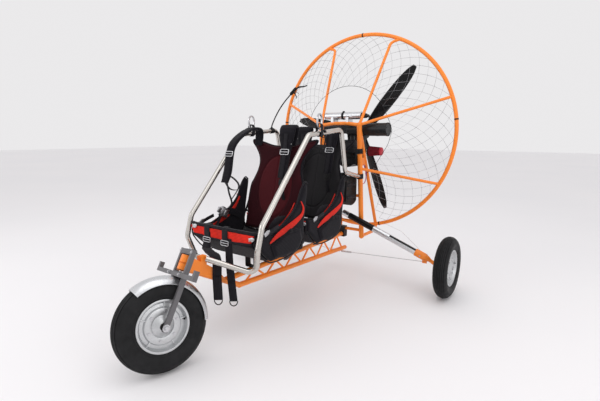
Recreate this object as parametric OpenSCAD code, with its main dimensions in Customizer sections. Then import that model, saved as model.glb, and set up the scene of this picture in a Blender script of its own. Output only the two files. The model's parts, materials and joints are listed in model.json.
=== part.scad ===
// Two-seat paramotor trike: welded keel, cage, engine frame, tandem seats and three wheels.
// +X is forward, +Y is the left of the machine, +Z is up. Sizes are in millimetres.

/* [Overall] */
// Distance from the rear axle to the front axle
wheelbase = 1580; // [1500:10:1900]
// Distance between the middles of the rear tyres
track = 1590; // [1300:10:1900]
// Forward distance of the rear axle from the middle of the cage ring
rear_axle_x = 290; // [250:1:320]

/* [Cage] */
// Radius of the cage ring to the middle of its tube
ring_r = 725; // [680:5:800]
// Height of the middle of the cage ring
ring_z = 1061; // [1040:1:1100]
// Radius of the ring tube
ring_tube_r = 13.5; // [10:0.5:16]
// Radius of the spoke tube
spoke_tube_r = 10; // [8:0.5:12]

/* [Propeller] */
// Radius of the propeller
prop_r = 620; // [500:5:660]
// Widest chord of a blade
blade_chord = 96; // [70:1:110]
// Turn of the first blade from the left of the machine
blade_angle = 50; // [0:5:119]

/* [Wheels] */
// Radius of the rear tyre
rear_tyre_r = 200; // [180:1:220]
// Width of the rear tyre
rear_tyre_w = 90; // [70:1:110]
// Radius of the front tyre
front_tyre_r = 208; // [190:1:212]
// Width of the front tyre
front_tyre_w = 92; // [70:1:94]
// Radius of the rims
rim_r = 118; // [100:1:130]
// Radius of the wheel axles
wheel_axle_r = 8; // [6:0.5:10]

/* [Steering] */
// Lean of the steering axis from upright
rake = 29; // [20:1:35]
// Steering angle as it is parked, where a turn to the left is positive
parked_steer = -19; // [-30:1:30]
// Distance along the steering axis from the front axle to the top of the fork
fork_length = 350; // [330:1:400]
// Half the length of the foot bar
foot_bar_half = 222; // [180:1:260]
// Radius of the head tube
head_tube_r = 23; // [20:0.5:28]
// Radius of the steering pin
steering_pin_r = 8; // [6:0.5:12]

/* [Frame] */
// Radius of the keel tubes
keel_tube_r = 15; // [12:0.5:18]
// Wall of the keel tubes at their open rear ends
keel_tube_wall = 2; // [1.5:0.5:4]
// Depth of the open rear ends of the keel tubes
keel_bore_depth = 150; // [60:5:200]
// Radius of the stainless side bars
side_bar_r = 14; // [11:0.5:16]
// Distance from the middle plane to a side bar
side_bar_y = 250; // [230:1:290]
// Half the distance between the posts of the engine frame
post_y = 155; // [140:1:180]
// Radius of the posts of the engine frame
post_r = 17.5; // [15:0.5:19]
// Radius of the rear axle tubes
axle_tube_r = 22; // [18:0.5:25]

/* [Seats] */
// Half the width of a seat over its side walls
seat_half = 232; // [205:1:234]
// Thickness of the padded seat walls
seat_wall = 26; // [18:1:32]
// Distance from the front seat back to the rear seat
seat_pitch = 428; // [424:1:440]

/* [Hidden] */
$fn = 64;

// Running gap between pieces that touch on the real machine
gap = 0.3;
// Turn between two rings of a bent tube
bend_step = 12;
// Extra radius of the weld bead over a tube's corner
bead = 1.2;
// Gap around a turning shaft
shaft_gap = 0.3;
// Clear space around a turning wheel
wheel_gap = 6;

// Colours
orange = [1.0, 0.45, 0.14];
fork_grey = [0.42, 0.41, 0.43];
steel = [0.82, 0.80, 0.77];
silver = [0.75, 0.76, 0.78];
black = [0.06, 0.06, 0.07];
dark = [0.14, 0.13, 0.15];
maroon = [0.22, 0.05, 0.07];
red = [0.62, 0.12, 0.12];

// Places measured from the middle of the cage ring, before the whole is centred
front_axle_x = rear_axle_x + wheelbase;
prop_plane_x = -45;
prop_half_depth = 24;
middle_x = (front_axle_x + front_tyre_r - 8 + prop_plane_x - prop_half_depth) / 2;
front_hub = [front_axle_x, 0, front_tyre_r];
steer_up = [-sin(rake), 0, cos(rake)];

// Fork, measured along the steering axis from the front axle
leg_thick = 17;
leg_depth = 22;
leg_in = front_tyre_w / 2 + wheel_gap;
mudguard_gap = 7;
mudguard_wall = 2;
tyre_tube_r = front_tyre_w / 2;
mudguard_r = front_tyre_r + mudguard_gap + mudguard_wall;
lower_plate_z = mudguard_r + gap;
plate_thick = 25;

// Keel
keel_rear_x = 207;
keel_corner_x = 1378;
lower_rear = [keel_rear_x, 0, 185];
lower_corner = [keel_corner_x, 0, 241];
upper_rear = [keel_rear_x, 0, 305];
upper_front = [lower_corner.x + 95, 0, 300];
head_gap = 4;
head_low = lower_plate_z + plate_thick + head_gap;
head_high = fork_length - plate_thick - head_gap;
head_mid = steer_point((head_low + head_high) / 2, 0);
nose_end = steer_point(head_low + keel_tube_r + 1, 0);
gusset_half = 14;
gusset_top_rear = head_mid + [-185, 0, -78];

// Engine frame
frame_corner = [325, post_y, 1112];
post_foot = [243, post_y, 302];
ring_foot_z = ring_z - sqrt(ring_r * ring_r - post_y * post_y);
foot_tube_r = 12;
cross_tube_r = 11;
cross_low_z = 347;
cross_mid_z = 410;
cross_high_z = 607;
mount_low_z = 826;
mount_high_z = 882;
slant_foot = [0, post_y, ring_foot_z];

// Rear axle
axle_x = post_x(446) + post_r + axle_tube_r + 1;
axle_in = [axle_x, 30, 478];
axle_out = [axle_x, 652, 243];
stub_in = [rear_axle_x, track / 2 - rear_tyre_w / 2 - 22, rear_tyre_r];
stub_end_y = track / 2 + 34;

// Seats, measured in the front seat's own frame and moved back for the rear seat
seat_front_x = lower_corner.x + 116;
seat_back_x = seat_front_x - 372;
seat_floor_z = 480;
seat_belly_z = 402;
seat_lip_z = 575;
back_lean = 15;

// Points on the steering axis: height along the axis and distance to the left on the steered axle
function steer_point(up, left) = front_hub + up * steer_up + left * steer_left();
function steer_left() = [
    -cos(rake) * sin(parked_steer),
    cos(parked_steer),
    -sin(rake) * sin(parked_steer)
];
// Forward place of a post at a height
function post_x(z) = post_foot.x + (z - post_foot.z) * (frame_corner.x - post_foot.x)
    / (frame_corner.z - post_foot.z);
function unit(v) = v / norm(v);
function flip(p) = [p.x, -p.y, p.z];
// Point on the cage ring at an angle from the left, and one inside it
function ring_point(a, inside = 0) = [0, (ring_r - inside) * cos(a), ring_z + (ring_r - inside) * sin(a)];

// Moves a finished piece so that the machine stands over the origin
module placed() {
    translate([-middle_x, 0, 0]) children();
}

// Mirrors a piece to the right of the machine and keeps it on the left
module both_sides() {
    children();
    mirror([0, 1, 0]) children();
}

// Turns children so that their Z runs from p to q
module along(p, q) {
    d = unit(q - p);
    u = unit(abs(d.z) < 0.9 ? cross([0, 0, 1], d) : cross([0, 1, 0], d));
    v = cross(d, u);
    multmatrix([
        [u.x, v.x, d.x, p.x],
        [u.y, v.y, d.y, p.y],
        [u.z, v.z, d.z, p.z],
        [0, 0, 0, 1]
    ]) children();
}

module rod(p, q, r) {
    along(p, q) cylinder(h = norm(q - p), r = r);
}

// Length that a bend of radius b takes from each side of the corner at point i
function bend_run(path, i, b) =
    let (
        a = unit(path[i] - path[i - 1]),
        c = unit(path[i + 1] - path[i]),
        turn = acos(min(1, a * c))
    ) b * tan(turn / 2);

// Points along the bend of radius b at corner i
function bend_points(path, i, b) =
    let (
        a = unit(path[i] - path[i - 1]),
        c = unit(path[i + 1] - path[i]),
        turn = acos(min(1, a * c)),
        n = unit(c - (a * c) * a),
        m = path[i] - a * bend_run(path, i, b) + n * b,
        steps = max(1, ceil(turn / bend_step))
    ) [for (k = [0 : steps]) m - n * b * cos(turn * k / steps) + a * b * sin(turn * k / steps)];

// Route through the points of path with each inner corner rounded at radius b
function rounded(path, b) = concat(
    [path[0]],
    [for (i = [1 : 1 : len(path) - 2]) for (q = bend_points(path, i, b)) q],
    [path[len(path) - 1]]
);

// Direction of a route at point i
function route_dir(route, i) =
    unit(route[min(i + 1, len(route) - 1)] - route[max(i - 1, 0)]);

// Side direction across d that stays as close as it can to w
function across(w, d) = unit(w - (w * d) * d);

// Side directions carried along a route without twist
function carried(route) =
    let (
        d0 = route_dir(route, 0),
        w0 = abs(d0.z) < 0.9 ? [0, 0, 1] : [1, 0, 0]
    ) [
        for (i = 0, u = across(w0, d0); i < len(route); i = i + 1,
            u = i < len(route) ? across(u, route_dir(route, i)) : u) u
    ];

// Closed surface through rings of points, each ring with the same number of sides
module skin(rings, sides) {
    n = len(rings) / sides;
    walls = [
        for (k = [0 : n - 2]) for (j = [0 : sides - 1]) for (half = [0, 1])
            let (
                a = k * sides + j,
                b = k * sides + (j + 1) % sides,
                c = (k + 1) * sides + (j + 1) % sides,
                d = (k + 1) * sides + j
            ) half == 0 ? [c, b, a] : [d, c, a]
    ];
    polyhedron(points = rings, faces = concat(walls,
        [[for (j = [0 : sides - 1]) j]],
        [[for (j = [sides - 1 : -1 : 0]) (n - 1) * sides + j]]));
}

// Round tube of radius r along a route
module swept(route, r, sides) {
    side_dirs = carried(route);
    skin([
        for (k = [0 : len(route) - 1])
            let (u = side_dirs[k], v = cross(route_dir(route, k), u))
                for (j = [0 : sides - 1])
                    route[k] + r * (cos(360 * j / sides) * u + sin(360 * j / sides) * v)
    ], sides);
}

module bent_tube(path, r, b, sides = 20) {
    swept(rounded(path, b), r, sides);
}

// ---------- keel ----------

module keel_tubes(grow = 0) {
    rod(lower_rear, lower_corner, keel_tube_r + grow);
    rod(lower_corner, nose_end, keel_tube_r + grow);
    translate(lower_corner) sphere(r = keel_tube_r + bead + grow);
    rod(upper_rear, upper_front, keel_tube_r + grow);
}

module nose_gusset() {
    low_line = unit(nose_end - lower_corner);
    head_top = steer_point(head_high - 4, 0);
    points = [
        [nose_end.x, nose_end.z],
        [head_top.x, head_top.z],
        [head_top.x - 40 * cos(rake), head_top.z - 40 * sin(rake)],
        [gusset_top_rear.x, gusset_top_rear.z],
        [lower_corner.x + low_line.x * 110, lower_corner.z + low_line.z * 110]
    ];
    translate([0, gusset_half, 0]) rotate([90, 0, 0])
        linear_extrude(2 * gusset_half) polygon(points);
    translate([bar_path[0].x - 16, -gusset_half, bar_path[0].z - 34])
        cube([34, 2 * gusset_half, 46]);
}

keel_braces = 6;
brace_rear_x = 255;

module keel_diagonals() {
    pitch = (lower_corner.x - 40 - brace_rear_x) / keel_braces;
    for (i = [0 : keel_braces - 1]) {
        x0 = brace_rear_x + i * pitch;
        rod(keel_low_at(x0), keel_up_at(x0 + pitch / 2), 6);
        rod(keel_up_at(x0 + pitch / 2), keel_low_at(x0 + pitch), 6);
    }
}

function keel_low_at(x) = lower_rear + (lower_corner - lower_rear) * (x - lower_rear.x)
    / (lower_corner.x - lower_rear.x);
function keel_up_at(x) = upper_rear + (upper_front - upper_rear) * (x - upper_rear.x)
    / (upper_front.x - upper_rear.x);

module keel_frame() {
    color(orange) placed() difference() {
        union() {
            keel_tubes();
            keel_diagonals();
            nose_gusset();
        }
        head_tube_body(gap);
        along(lower_rear, lower_corner) translate([0, 0, -1])
            cylinder(h = keel_bore_depth + 1, r = keel_tube_r - keel_tube_wall);
        along(upper_rear, upper_front) translate([0, 0, -1])
            cylinder(h = keel_bore_depth + 1, r = keel_tube_r - keel_tube_wall);
    }
}

module head_tube_body(grow = 0) {
    rod(steer_point(head_low - grow, 0), steer_point(head_high + grow, 0), head_tube_r + grow);
}

module head_tube() {
    color(orange) placed() difference() {
        head_tube_body();
        rod(steer_point(head_low - 1, 0), steer_point(head_high + 1, 0), steering_pin_r + shaft_gap);
    }
}

// ---------- side bars ----------

bar_front_y = gusset_half + side_bar_r + gap;
bar_top_z = 1055;
bar_path = [
    [head_mid.x - 106, bar_front_y, head_mid.z - 2],
    [lower_corner.x + 100, side_bar_y - 36, 372],
    [lower_corner.x + 130, side_bar_y, 500],
    [lower_corner.x + 97, side_bar_y, 612],
    [lower_corner.x - 288, side_bar_y, bar_top_z - 16],
    [738, side_bar_y - 3, bar_top_z + 17],
    [673, side_bar_y - 6, 812],
    [post_x(752) + post_r + side_bar_r + 1, post_y + 6, 752]
];

module side_bar() {
    bent_tube(bar_path, side_bar_r, 42);
}

module side_bar_left() {
    color(steel) placed() side_bar();
}

module side_bar_right() {
    color(steel) placed() mirror([0, 1, 0]) side_bar();
}

// ---------- engine frame ----------

module post_tube(grow = 0) {
    rod(post_foot, frame_corner, post_r + grow);
}

module frame_side() {
    foot_end = [6, post_y, post_foot.z + 2];
    difference() {
        union() {
            post_tube();
            translate(frame_corner) sphere(r = post_r + bead);
            translate(post_foot) sphere(r = post_r + bead);
            rod(post_foot, foot_end, foot_tube_r);
            translate(foot_end) sphere(r = foot_tube_r + bead);
            rod(foot_end, slant_foot, foot_tube_r);
            rod(slant_foot, frame_corner, foot_tube_r);
            mount_plate();
        }
        ring_tube(gap);
    }
}

// Welded plate between a post and its slanted tube, which carries the engine
module mount_plate() {
    points = [
        [post_x(mount_low_z), mount_low_z],
        [slant_x(mount_low_z), mount_low_z],
        [slant_x(mount_high_z - 20), mount_high_z - 20],
        [slant_x(mount_high_z), mount_high_z],
        [post_x(mount_high_z), mount_high_z]
    ];
    translate([0, post_y + 4, 0]) rotate([90, 0, 0]) linear_extrude(8) polygon(points);
}

function slant_x(z) = slant_foot.x + (z - slant_foot.z) * (frame_corner.x - slant_foot.x)
    / (frame_corner.z - slant_foot.z);

module frame_side_left() {
    color(orange) placed() frame_side();
}

module frame_side_right() {
    color(orange) placed() mirror([0, 1, 0]) frame_side();
}

module cross_tube(x, z) {
    end = post_y - post_r - gap;
    translate([x, -end, z]) rotate([-90, 0, 0]) cylinder(h = 2 * end, r = cross_tube_r);
}

module frame_cross_tubes() {
    color(orange) placed() {
        difference() {
            top_tube();
            both_sides() {
                translate(frame_corner) sphere(r = post_r + bead + gap);
                post_tube(gap);
            }
        }
        cross_tube(post_x(cross_low_z), cross_low_z);
        cross_tube(post_x(cross_mid_z), cross_mid_z);
        cross_tube(post_x(cross_high_z), cross_high_z);
    }
}

// Black clamps: bands on the posts, saddles for the axle tubes and the keel clamp
band_height = 34;
band_wall = 4;

module post_band(z) {
    lower = [post_x(z - band_height / 2), post_y, z - band_height / 2];
    upper = [post_x(z + band_height / 2), post_y, z + band_height / 2];
    difference() {
        rod(lower, upper, post_r + gap + band_wall);
        post_tube(gap);
    }
}

module frame_clamps() {
    clamp_x = post_x(cross_low_z);
    clamp_low = keel_up_at(clamp_x).z;
    color(black) placed() {
        both_sides() {
            post_band(930);
            difference() {
                union() {
                    post_band(752);
                    rod([post_x(752) + post_r, post_y, 752],
                        [post_x(752) + post_r + 26, post_y + 6, 752], side_bar_r + 5);
                }
                post_tube(gap);
                side_bar_cut();
            }
        }
        difference() {
            union() {
                rod([clip_x + 14, -side_bar_y + 3, bar_z(clip_x + 14)],
                    [clip_x - 14, -side_bar_y + 3, bar_z(clip_x - 14)], side_bar_r + 3.5);
                translate([clip_x, -side_bar_y + 3, clip_z])
                    cylinder(h = side_bar_r + 10 - gap, r = cable_r + 3);
            }
            mirror([0, 1, 0]) rod(bar_path[4], bar_path[5], side_bar_r + gap);
        }
        difference() {
            translate([clamp_x - 22, -24, clamp_low - 22])
                cube([44, 48, cross_low_z - clamp_low + 22 + 16]);
            keel_tubes(gap);
            cross_hole(clamp_x, cross_low_z);
        }
    }
}

module side_bar_cut() {
    last = len(bar_path) - 1;
    back = unit(bar_path[last - 1] - bar_path[last]);
    rod(bar_path[last] - back * gap, bar_path[last] + back * 60, side_bar_r + gap);
}

module cross_hole(x, z) {
    translate([x, -100, z]) rotate([-90, 0, 0]) cylinder(h = 200, r = cross_tube_r + gap);
}

// ---------- cage ----------

foot_joint = 14.9;
side_joint = 7.15;

module ring_tube(grow = 0) {
    translate([0, 0, ring_z]) rotate([0, 90, 0]) rotate_extrude($fn = 180)
        translate([ring_r, 0]) circle(r = ring_tube_r + grow, $fn = 32);
}

// Part of the ring between two angles from the left of the machine
module ring_part(from, to, r, bore = 0) {
    multmatrix([[0, 0, 1, 0], [1, 0, 0, 0], [0, 1, 0, ring_z], [0, 0, 0, 1]])
        rotate([0, 0, from]) rotate_extrude(angle = to - from, $fn = 180)
            translate([ring_r, 0]) difference() {
                circle(r = r, $fn = 32);
                if (bore > 0) circle(r = bore, $fn = 32);
            }
}

ring_joints = [side_joint, 90, 180 - side_joint, 270 - foot_joint, 270 + foot_joint, 360 + side_joint];

module cage_ring() {
    joint_gap = 0.03;
    color(orange) placed()
        for (i = [0 : len(ring_joints) - 2])
            ring_part(ring_joints[i] + joint_gap, ring_joints[i + 1] - joint_gap, ring_tube_r);
}

module ring_sleeves() {
    sleeve_half = 0.35;
    color(black) placed()
        for (i = [0 : len(ring_joints) - 2])
            ring_part(ring_joints[i] - sleeve_half, ring_joints[i] + sleeve_half,
                ring_tube_r + 1.6, ring_tube_r + gap);
}

spoke_angles = [65.7, 19.5, -29.8];
spoke_roots = [
    [frame_corner.x, frame_corner.y, frame_corner.z],
    [frame_corner.x, frame_corner.y, frame_corner.z],
    [post_x(806), post_y, 806]
];

upper_bend = ring_point(spoke_angles[0] + 4.5, 42) + [12, 0, 0];
spoke_paths = [
    [spoke_roots[0], upper_bend, ring_point(spoke_angles[0])],
    [spoke_roots[1], ring_point(spoke_angles[1])],
    [spoke_roots[2], ring_point(spoke_angles[2])]
];

top_rise = 12;
top_bow = 60;
top_path = [
    flip(frame_corner), [frame_corner.x, -top_bow, frame_corner.z + top_rise],
    [frame_corner.x, top_bow, frame_corner.z + top_rise], frame_corner
];

module top_tube(grow = 0) {
    bent_tube(top_path, cross_tube_r + 1 + grow, 200);
}

module cage_spokes() {
    color(orange) placed() both_sides() for (i = [0 : 2]) difference() {
        bent_tube(spoke_paths[i], spoke_tube_r, 40, 16);
        ring_tube(gap);
        translate(frame_corner) sphere(r = post_r + bead + gap);
        post_tube(gap);
        rod(slant_foot, frame_corner, foot_tube_r + gap);
    }
}

// ---------- rear axle ----------

axle_sleeve = 70;
arm_r = 12;

module axle_tubes() {
    color(silver) placed() both_sides() rod(axle_in, axle_out, axle_tube_r);
}

module wheel_holder() {
    d = unit(axle_out - axle_in);
    sleeve_r = axle_tube_r + gap + 3;
    sleeve_start = axle_out - d * axle_sleeve;
    cone_end = axle_out + d * 34;
    difference() {
        union() {
            rod(sleeve_start, axle_out + d * 4, sleeve_r);
            along(axle_out, cone_end) cylinder(h = 34, r1 = sleeve_r - 0.8, r2 = arm_r + 2);
            rod(cone_end - d * 12, stub_in, arm_r);
            translate(stub_in) sphere(r = arm_r + bead);
            translate(stub_in) rotate([-90, 0, 0]) cylinder(h = stub_end_y - stub_in.y, r = wheel_axle_r);
            stay_lug();
        }
        rod(axle_in, axle_out, axle_tube_r + gap);
    }
}

// Small lug under the sleeve, which takes the stay
lug_y = 650;

module stay_lug() {
    translate([axle_x - 4, lug_y - 15, axle_out.z - 40]) cube([8, 30, 34]);
}

module wheel_holders() {
    color(orange) placed() both_sides() wheel_holder();
}

module axle_stays() {
    stay_in = [keel_rear_x + 70, 8, keel_low_at(keel_rear_x + 70).z - keel_tube_r - 4];
    stay_out = [axle_x, lug_y - 15 - gap, axle_out.z - 32];
    sleeve_length = 85;
    color(dark) placed() both_sides() {
        rod(stay_in, stay_out, 2);
        rod(stay_in, stay_in + unit(stay_out - stay_in) * sleeve_length, 6);
    }
}

// ---------- engine ----------

engine_z = ring_z - 175;

module engine_block() {
    plate_in = post_y - 4 - gap;
    color(dark) placed() {
        translate([60, 0, engine_z]) rotate([0, 90, 0]) cylinder(h = 165, r = 82);
        translate([78, -78, engine_z + 30]) cube([182, 156, 90]);
        difference() {
            translate([slant_x(mount_low_z) + 14, -plate_in, mount_low_z + 8])
                cube([post_x(mount_low_z) - slant_x(mount_low_z) - 34, 2 * plate_in, 36]);
            both_sides() {
                post_tube(gap);
                rod(slant_foot, frame_corner, foot_tube_r + gap);
            }
        }
    }
}

module reduction_drive() {
    color(dark) placed() {
        translate([26, 0, ring_z]) rotate([0, 90, 0]) cylinder(h = 33.5, r = 62);
        translate([26, -62, engine_z + 70]) cube([33.5, 124, 105]);
        translate([prop_plane_x + prop_half_depth + 6, 0, ring_z]) rotate([0, 90, 0])
            cylinder(h = 26 - prop_plane_x - prop_half_depth - 5, r = 24);
        translate([prop_plane_x - prop_half_depth + 6, 0, ring_z]) rotate([0, 90, 0])
            cylinder(h = 2 * prop_half_depth + 26, r = 11);
    }
}

silencer_r = 45;
silencer_x = 235;
silencer_z = ring_z + 20;

engine_top = engine_z + 120;

module silencer() {
    color(black) placed() {
        translate([silencer_x, 30, silencer_z]) rotate([-90, 0, 0]) cylinder(h = 303, r = silencer_r);
        translate([silencer_x, 56, engine_top + gap])
            cylinder(h = silencer_z - engine_top, r = 17);
    }
}

can_r = 26;
can_x = 265;
can_z = frame_corner.z + 67;

module exhaust_can() {
    saddle = 20;
    saddle_rear = can_x - 3;
    color(silver) placed() {
        translate([can_x, -148, can_z]) rotate([-90, 0, 0]) cylinder(h = 289, r = can_r);
        difference() {
            for (y = [-70, 50])
                translate([saddle_rear, y, frame_corner.z + 6])
                    cube([frame_corner.x + 8 - saddle_rear, saddle, can_z - frame_corner.z - 18]);
            top_tube(gap);
        }
    }
}

filter_x = 150;
filter_start = 71;

module air_filter() {
    color(red) placed() translate([filter_x, 78 + gap, engine_z + 40]) rotate([-90, 0, 0]) {
        cylinder(h = filter_start + 1, r = 14);
        translate([0, 0, filter_start]) cylinder(h = 108, r1 = 38, r2 = 30);
    }
}

tank_half = 126;

module fuel_tank() {
    tank_x = post_x(cross_high_z) + cross_tube_r + gap;
    color(black) placed() intersection() {
        translate([tank_x + 72, 0, 652]) rotate([90, 0, 0])
            cylinder(h = 2 * tank_half, r = 104, center = true);
        translate([tank_x, -tank_half, 545]) cube([150, 2 * tank_half, 208]);
    }
}

// ---------- seats ----------

module side_profile(points, y, thick) {
    translate([0, y + thick, 0]) rotate([90, 0, 0]) linear_extrude(thick) polygon(points);
}

// Open tub of a seat: belly, floor, front lip and two side wings
module seat_tub() {
    fx = seat_front_x;
    floor_points = [
        [fx, seat_lip_z], [fx + 2, seat_lip_z - 70], [fx - 110, seat_belly_z + 4],
        [fx - 335, seat_belly_z + 12], [fx - 398, seat_floor_z - 10],
        [fx - 398, seat_floor_z], [fx - 60, seat_floor_z], [fx - 26, seat_lip_z]
    ];
    wing_points = [
        [fx - 1, seat_lip_z - 2], [fx + 1, seat_lip_z - 69], [fx - 110, seat_belly_z + 4.5],
        [fx - 335, seat_belly_z + 12.5], [fx - 398, seat_floor_z - 9.5], [fx - 402, 560],
        [fx - 444, 770], [fx - 415, 790], [fx - 375, 752], [fx - 335, 675], [fx - 270, 620],
        [fx - 130, 555]
    ];
    side_profile(floor_points, -seat_half + 1, 2 * seat_half - 2);
    side_profile(wing_points, seat_half - seat_wall, seat_wall);
    side_profile(wing_points, -seat_half, seat_wall);
}

back_thick = 34;
back_foot_z = seat_floor_z + back_thick * sin(back_lean) + gap;
back_tall = 560;

// Outline of a seat back: waist, arm openings, shoulders and neck line
function back_outline() = [
    [0, 0], [196, 0], [203, 170], [200, 265], [186, 300], [165, 350], [158, 400], [170, 450],
    [205, 500], [238, 530], [236, back_tall - 8], [150, back_tall - 26], [60, back_tall - 48],
    [0, back_tall - 54]
];

// Point in front of a seat back: height up the back and distance out of its face
function back_point(up, out) = [
    seat_back_x + 12 - up * sin(back_lean) + out * cos(back_lean), 0,
    back_foot_z + up * cos(back_lean) + out * sin(back_lean)
];

module seat_back() {
    half = back_outline();
    outline = concat(half, [for (i = [len(half) - 2 : -1 : 1]) [-half[i].x, half[i].y]]);
    translate([seat_back_x + 12, 0, back_foot_z]) rotate([0, -back_lean, 0])
        rotate([90, 0, 90]) translate([0, 0, -back_thick]) linear_extrude(back_thick) polygon(outline);
}

module front_seat_tub() {
    color(black) placed() seat_tub();
}

module front_seat_back() {
    color(maroon) placed() seat_back();
}

module rear_seat_tub() {
    color(black) placed() translate([-seat_pitch, 0, 0]) seat_tub();
}

module rear_seat_back() {
    color(black) placed() translate([-seat_pitch, 0, 0]) seat_back();
}

// Flat ribbon along a route, with its width along Y
module ribbon(route, width, thick) {
    skin([
        for (k = [0 : len(route) - 1])
            let (w = across([0, 1, 0], route_dir(route, k)), n = cross(route_dir(route, k), w))
                for (c = [[1, 1], [-1, 1], [-1, -1], [1, -1]])
                    route[k] + w * width / 2 * c.x + n * thick / 2 * c.y
    ], 4);
}

strap_width = 56;
strap_thick = 14;
strap_hook = back_point(back_tall - 60, strap_thick / 2 + gap);
strap_rise = [-46 * sin(back_lean), 0, 46 * cos(back_lean)];

// Padded strap that folds over the top of the back and hangs in front of it
folded_strap = [
    strap_hook, strap_hook + strap_rise, [seat_front_x - 494, 0, 1078],
    [seat_front_x - 454, 0, 1076], [seat_front_x - 434, 0, 950], [seat_front_x - 396, 0, 800]
];
// Padded strap that lies forward beside the side bar
draped_strap = [
    strap_hook, strap_hook + strap_rise, [seat_front_x - 484, 0, 1070],
    [seat_front_x - 394, 0, 1066], [seat_front_x - 262, 0, 982], [seat_front_x - 220, 0, 835],
    [seat_front_x - 194, 0, 775]
];

module shoulder_strap(path, y) {
    translate([0, y, 0]) ribbon(rounded(path, 18), strap_width, strap_thick);
}

module front_shoulder_straps() {
    color(black) placed() {
        shoulder_strap(folded_strap, 75);
        shoulder_strap(draped_strap, -172);
    }
}

module rear_shoulder_straps() {
    color(black) placed() translate([-seat_pitch, 0, 0]) both_sides()
        shoulder_strap(folded_strap, 110);
}

// Two webbing legs that hang from the front lip, with their rings
leg_strap_paths = [
    [
        [seat_front_x + 3.6, -98, 548], [seat_front_x + 5, -98, 500], [seat_front_x + 18, -94, 466],
        [seat_front_x + 54, -30, 462], [seat_front_x + 70, 36, 440], [seat_front_x + 70, 41, 236]
    ],
    [[seat_front_x + 3.6, 54, 530], [seat_front_x + 5, 56, 500], [seat_front_x + 8, 84, 216]]
];
leg_strap_width = 46;
ring_wire = 2.6;
d_ring_r = 17;

module leg_straps() {
    color(black) placed()
        for (path = leg_strap_paths) {
            ribbon(rounded(path, 12), leg_strap_width, 3);
            translate(path[len(path) - 1] - [0, 0, d_ring_r - 2]) rotate([0, 90, 0])
                rotate_extrude($fn = 48) translate([d_ring_r, 0]) circle(r = ring_wire, $fn = 16);
        }
}

// Webbing that ties the seats down to the keel
module seat_lashings() {
    lash_x = seat_front_x - 220;
    belly_low = seat_belly_z + 4 + 8 * 86 / 225 - gap;
    color(black) placed()
        for (x = [lash_x, lash_x - seat_pitch]) {
            low = keel_low_at(x).z - keel_tube_r;
            difference() {
                translate([x - 24, -32, low - 5]) cube([48, 64, belly_low - low + 5]);
                translate([x - 30, -27, low - 1])
                    cube([60, 54, keel_up_at(x).z + keel_tube_r - low + 2]);
            }
        }
}

// ---------- hang points ----------

hang_x = 985;
hang_z = bar_z(hang_x);

loop_half = 13;
loop_wall = 5;
slot_low = 6;
slot_tall = 30;

// Webbing loops around the side bars, each with a slot for its karabiner
module hang_loops() {
    color(black) placed() both_sides() difference() {
        translate([hang_x - loop_half, side_bar_y - side_bar_r - loop_wall, hang_z - side_bar_r - slot_low])
            cube([
                2 * loop_half, 2 * (side_bar_r + loop_wall),
                2 * side_bar_r + 2 * slot_low + slot_tall + loop_wall
            ]);
        rod(bar_path[4], bar_path[5], side_bar_r + gap);
        translate([hang_x - 30, side_bar_y - karabiner_wire, hang_z + side_bar_r + slot_low])
            cube([60, 2 * karabiner_wire, slot_tall]);
    }
}

karabiner_tall = 88;
karabiner_wire = 8;

// Egg shaped outline, wider at its top, standing on the origin and set in by a distance
function egg(tall, wide, inset) = [
    for (k = [0 : 35]) let (a = k * 10, grow = 1 + 0.16 * sin(a))
        [(wide / 2 - inset) * cos(a) * grow, tall / 2 + (tall / 2 - inset) * sin(a)]
];

module karabiners() {
    color(steel) placed() both_sides()
        translate([hang_x, side_bar_y + karabiner_wire / 2, hang_z + side_bar_r + slot_low + gap])
            rotate([90, 0, 0]) linear_extrude(karabiner_wire) difference() {
                polygon(egg(karabiner_tall, 54, 0));
                polygon(egg(karabiner_tall, 54, karabiner_wire));
            }
}

// ---------- throttle ----------

cable_r = 4;
clip_x = 792;
clip_z = bar_z(clip_x);
cable_points = [
    [clip_x, -side_bar_y + 3, clip_z + side_bar_r + 11], [784, -246, 1112], [752, -245, 1160],
    [718, -234, 1215], [690, -212, 1264], [668, -186, 1304]
];

// Height of the top of a side bar's run over the seats
function bar_z(x) = bar_path[4].z + (bar_path[4].x - x) * (bar_path[5].z - bar_path[4].z)
    / (bar_path[4].x - bar_path[5].x);

// Smooth point on the cable at a share t of its length
function spline(p, i, t) =
    let (
        a = p[max(i - 1, 0)], b = p[i], c = p[i + 1], d = p[min(i + 2, len(p) - 1)]
    ) 0.5 * ((2 * b) + (c - a) * t + (2 * a - 5 * b + 4 * c - d) * t * t
        + (3 * b - a - 3 * c + d) * t * t * t);

cable_steps = 5;
cable_route = concat(
    [for (i = [0 : len(cable_points) - 2]) for (k = [0 : cable_steps - 1])
        spline(cable_points, i, k / cable_steps)],
    [cable_points[len(cable_points) - 1]]
);

module throttle_cable() {
    color(black) placed() swept(cable_route, cable_r, 8);
}

module throttle_grip() {
    end = cable_points[len(cable_points) - 1];
    d = unit(end - cable_points[len(cable_points) - 2]);
    start = end + d * gap;
    color(black) placed() {
        rod(start, start + d * 60, 11);
        rod(start + d * 50, start + d * 50 + [-45, 70, 25], 6);
        rod(start + d * 20, start + d * 20 + [0, 42, -36], 5);
    }
}

// ---------- fork and front wheel ----------

// Turns children into the fork's frame: Z up the steering axis, Y along the front axle
module fork_frame() {
    placed() translate(front_hub) rotate([0, -rake, 0]) rotate([0, 0, parked_steer]) children();
}

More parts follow.
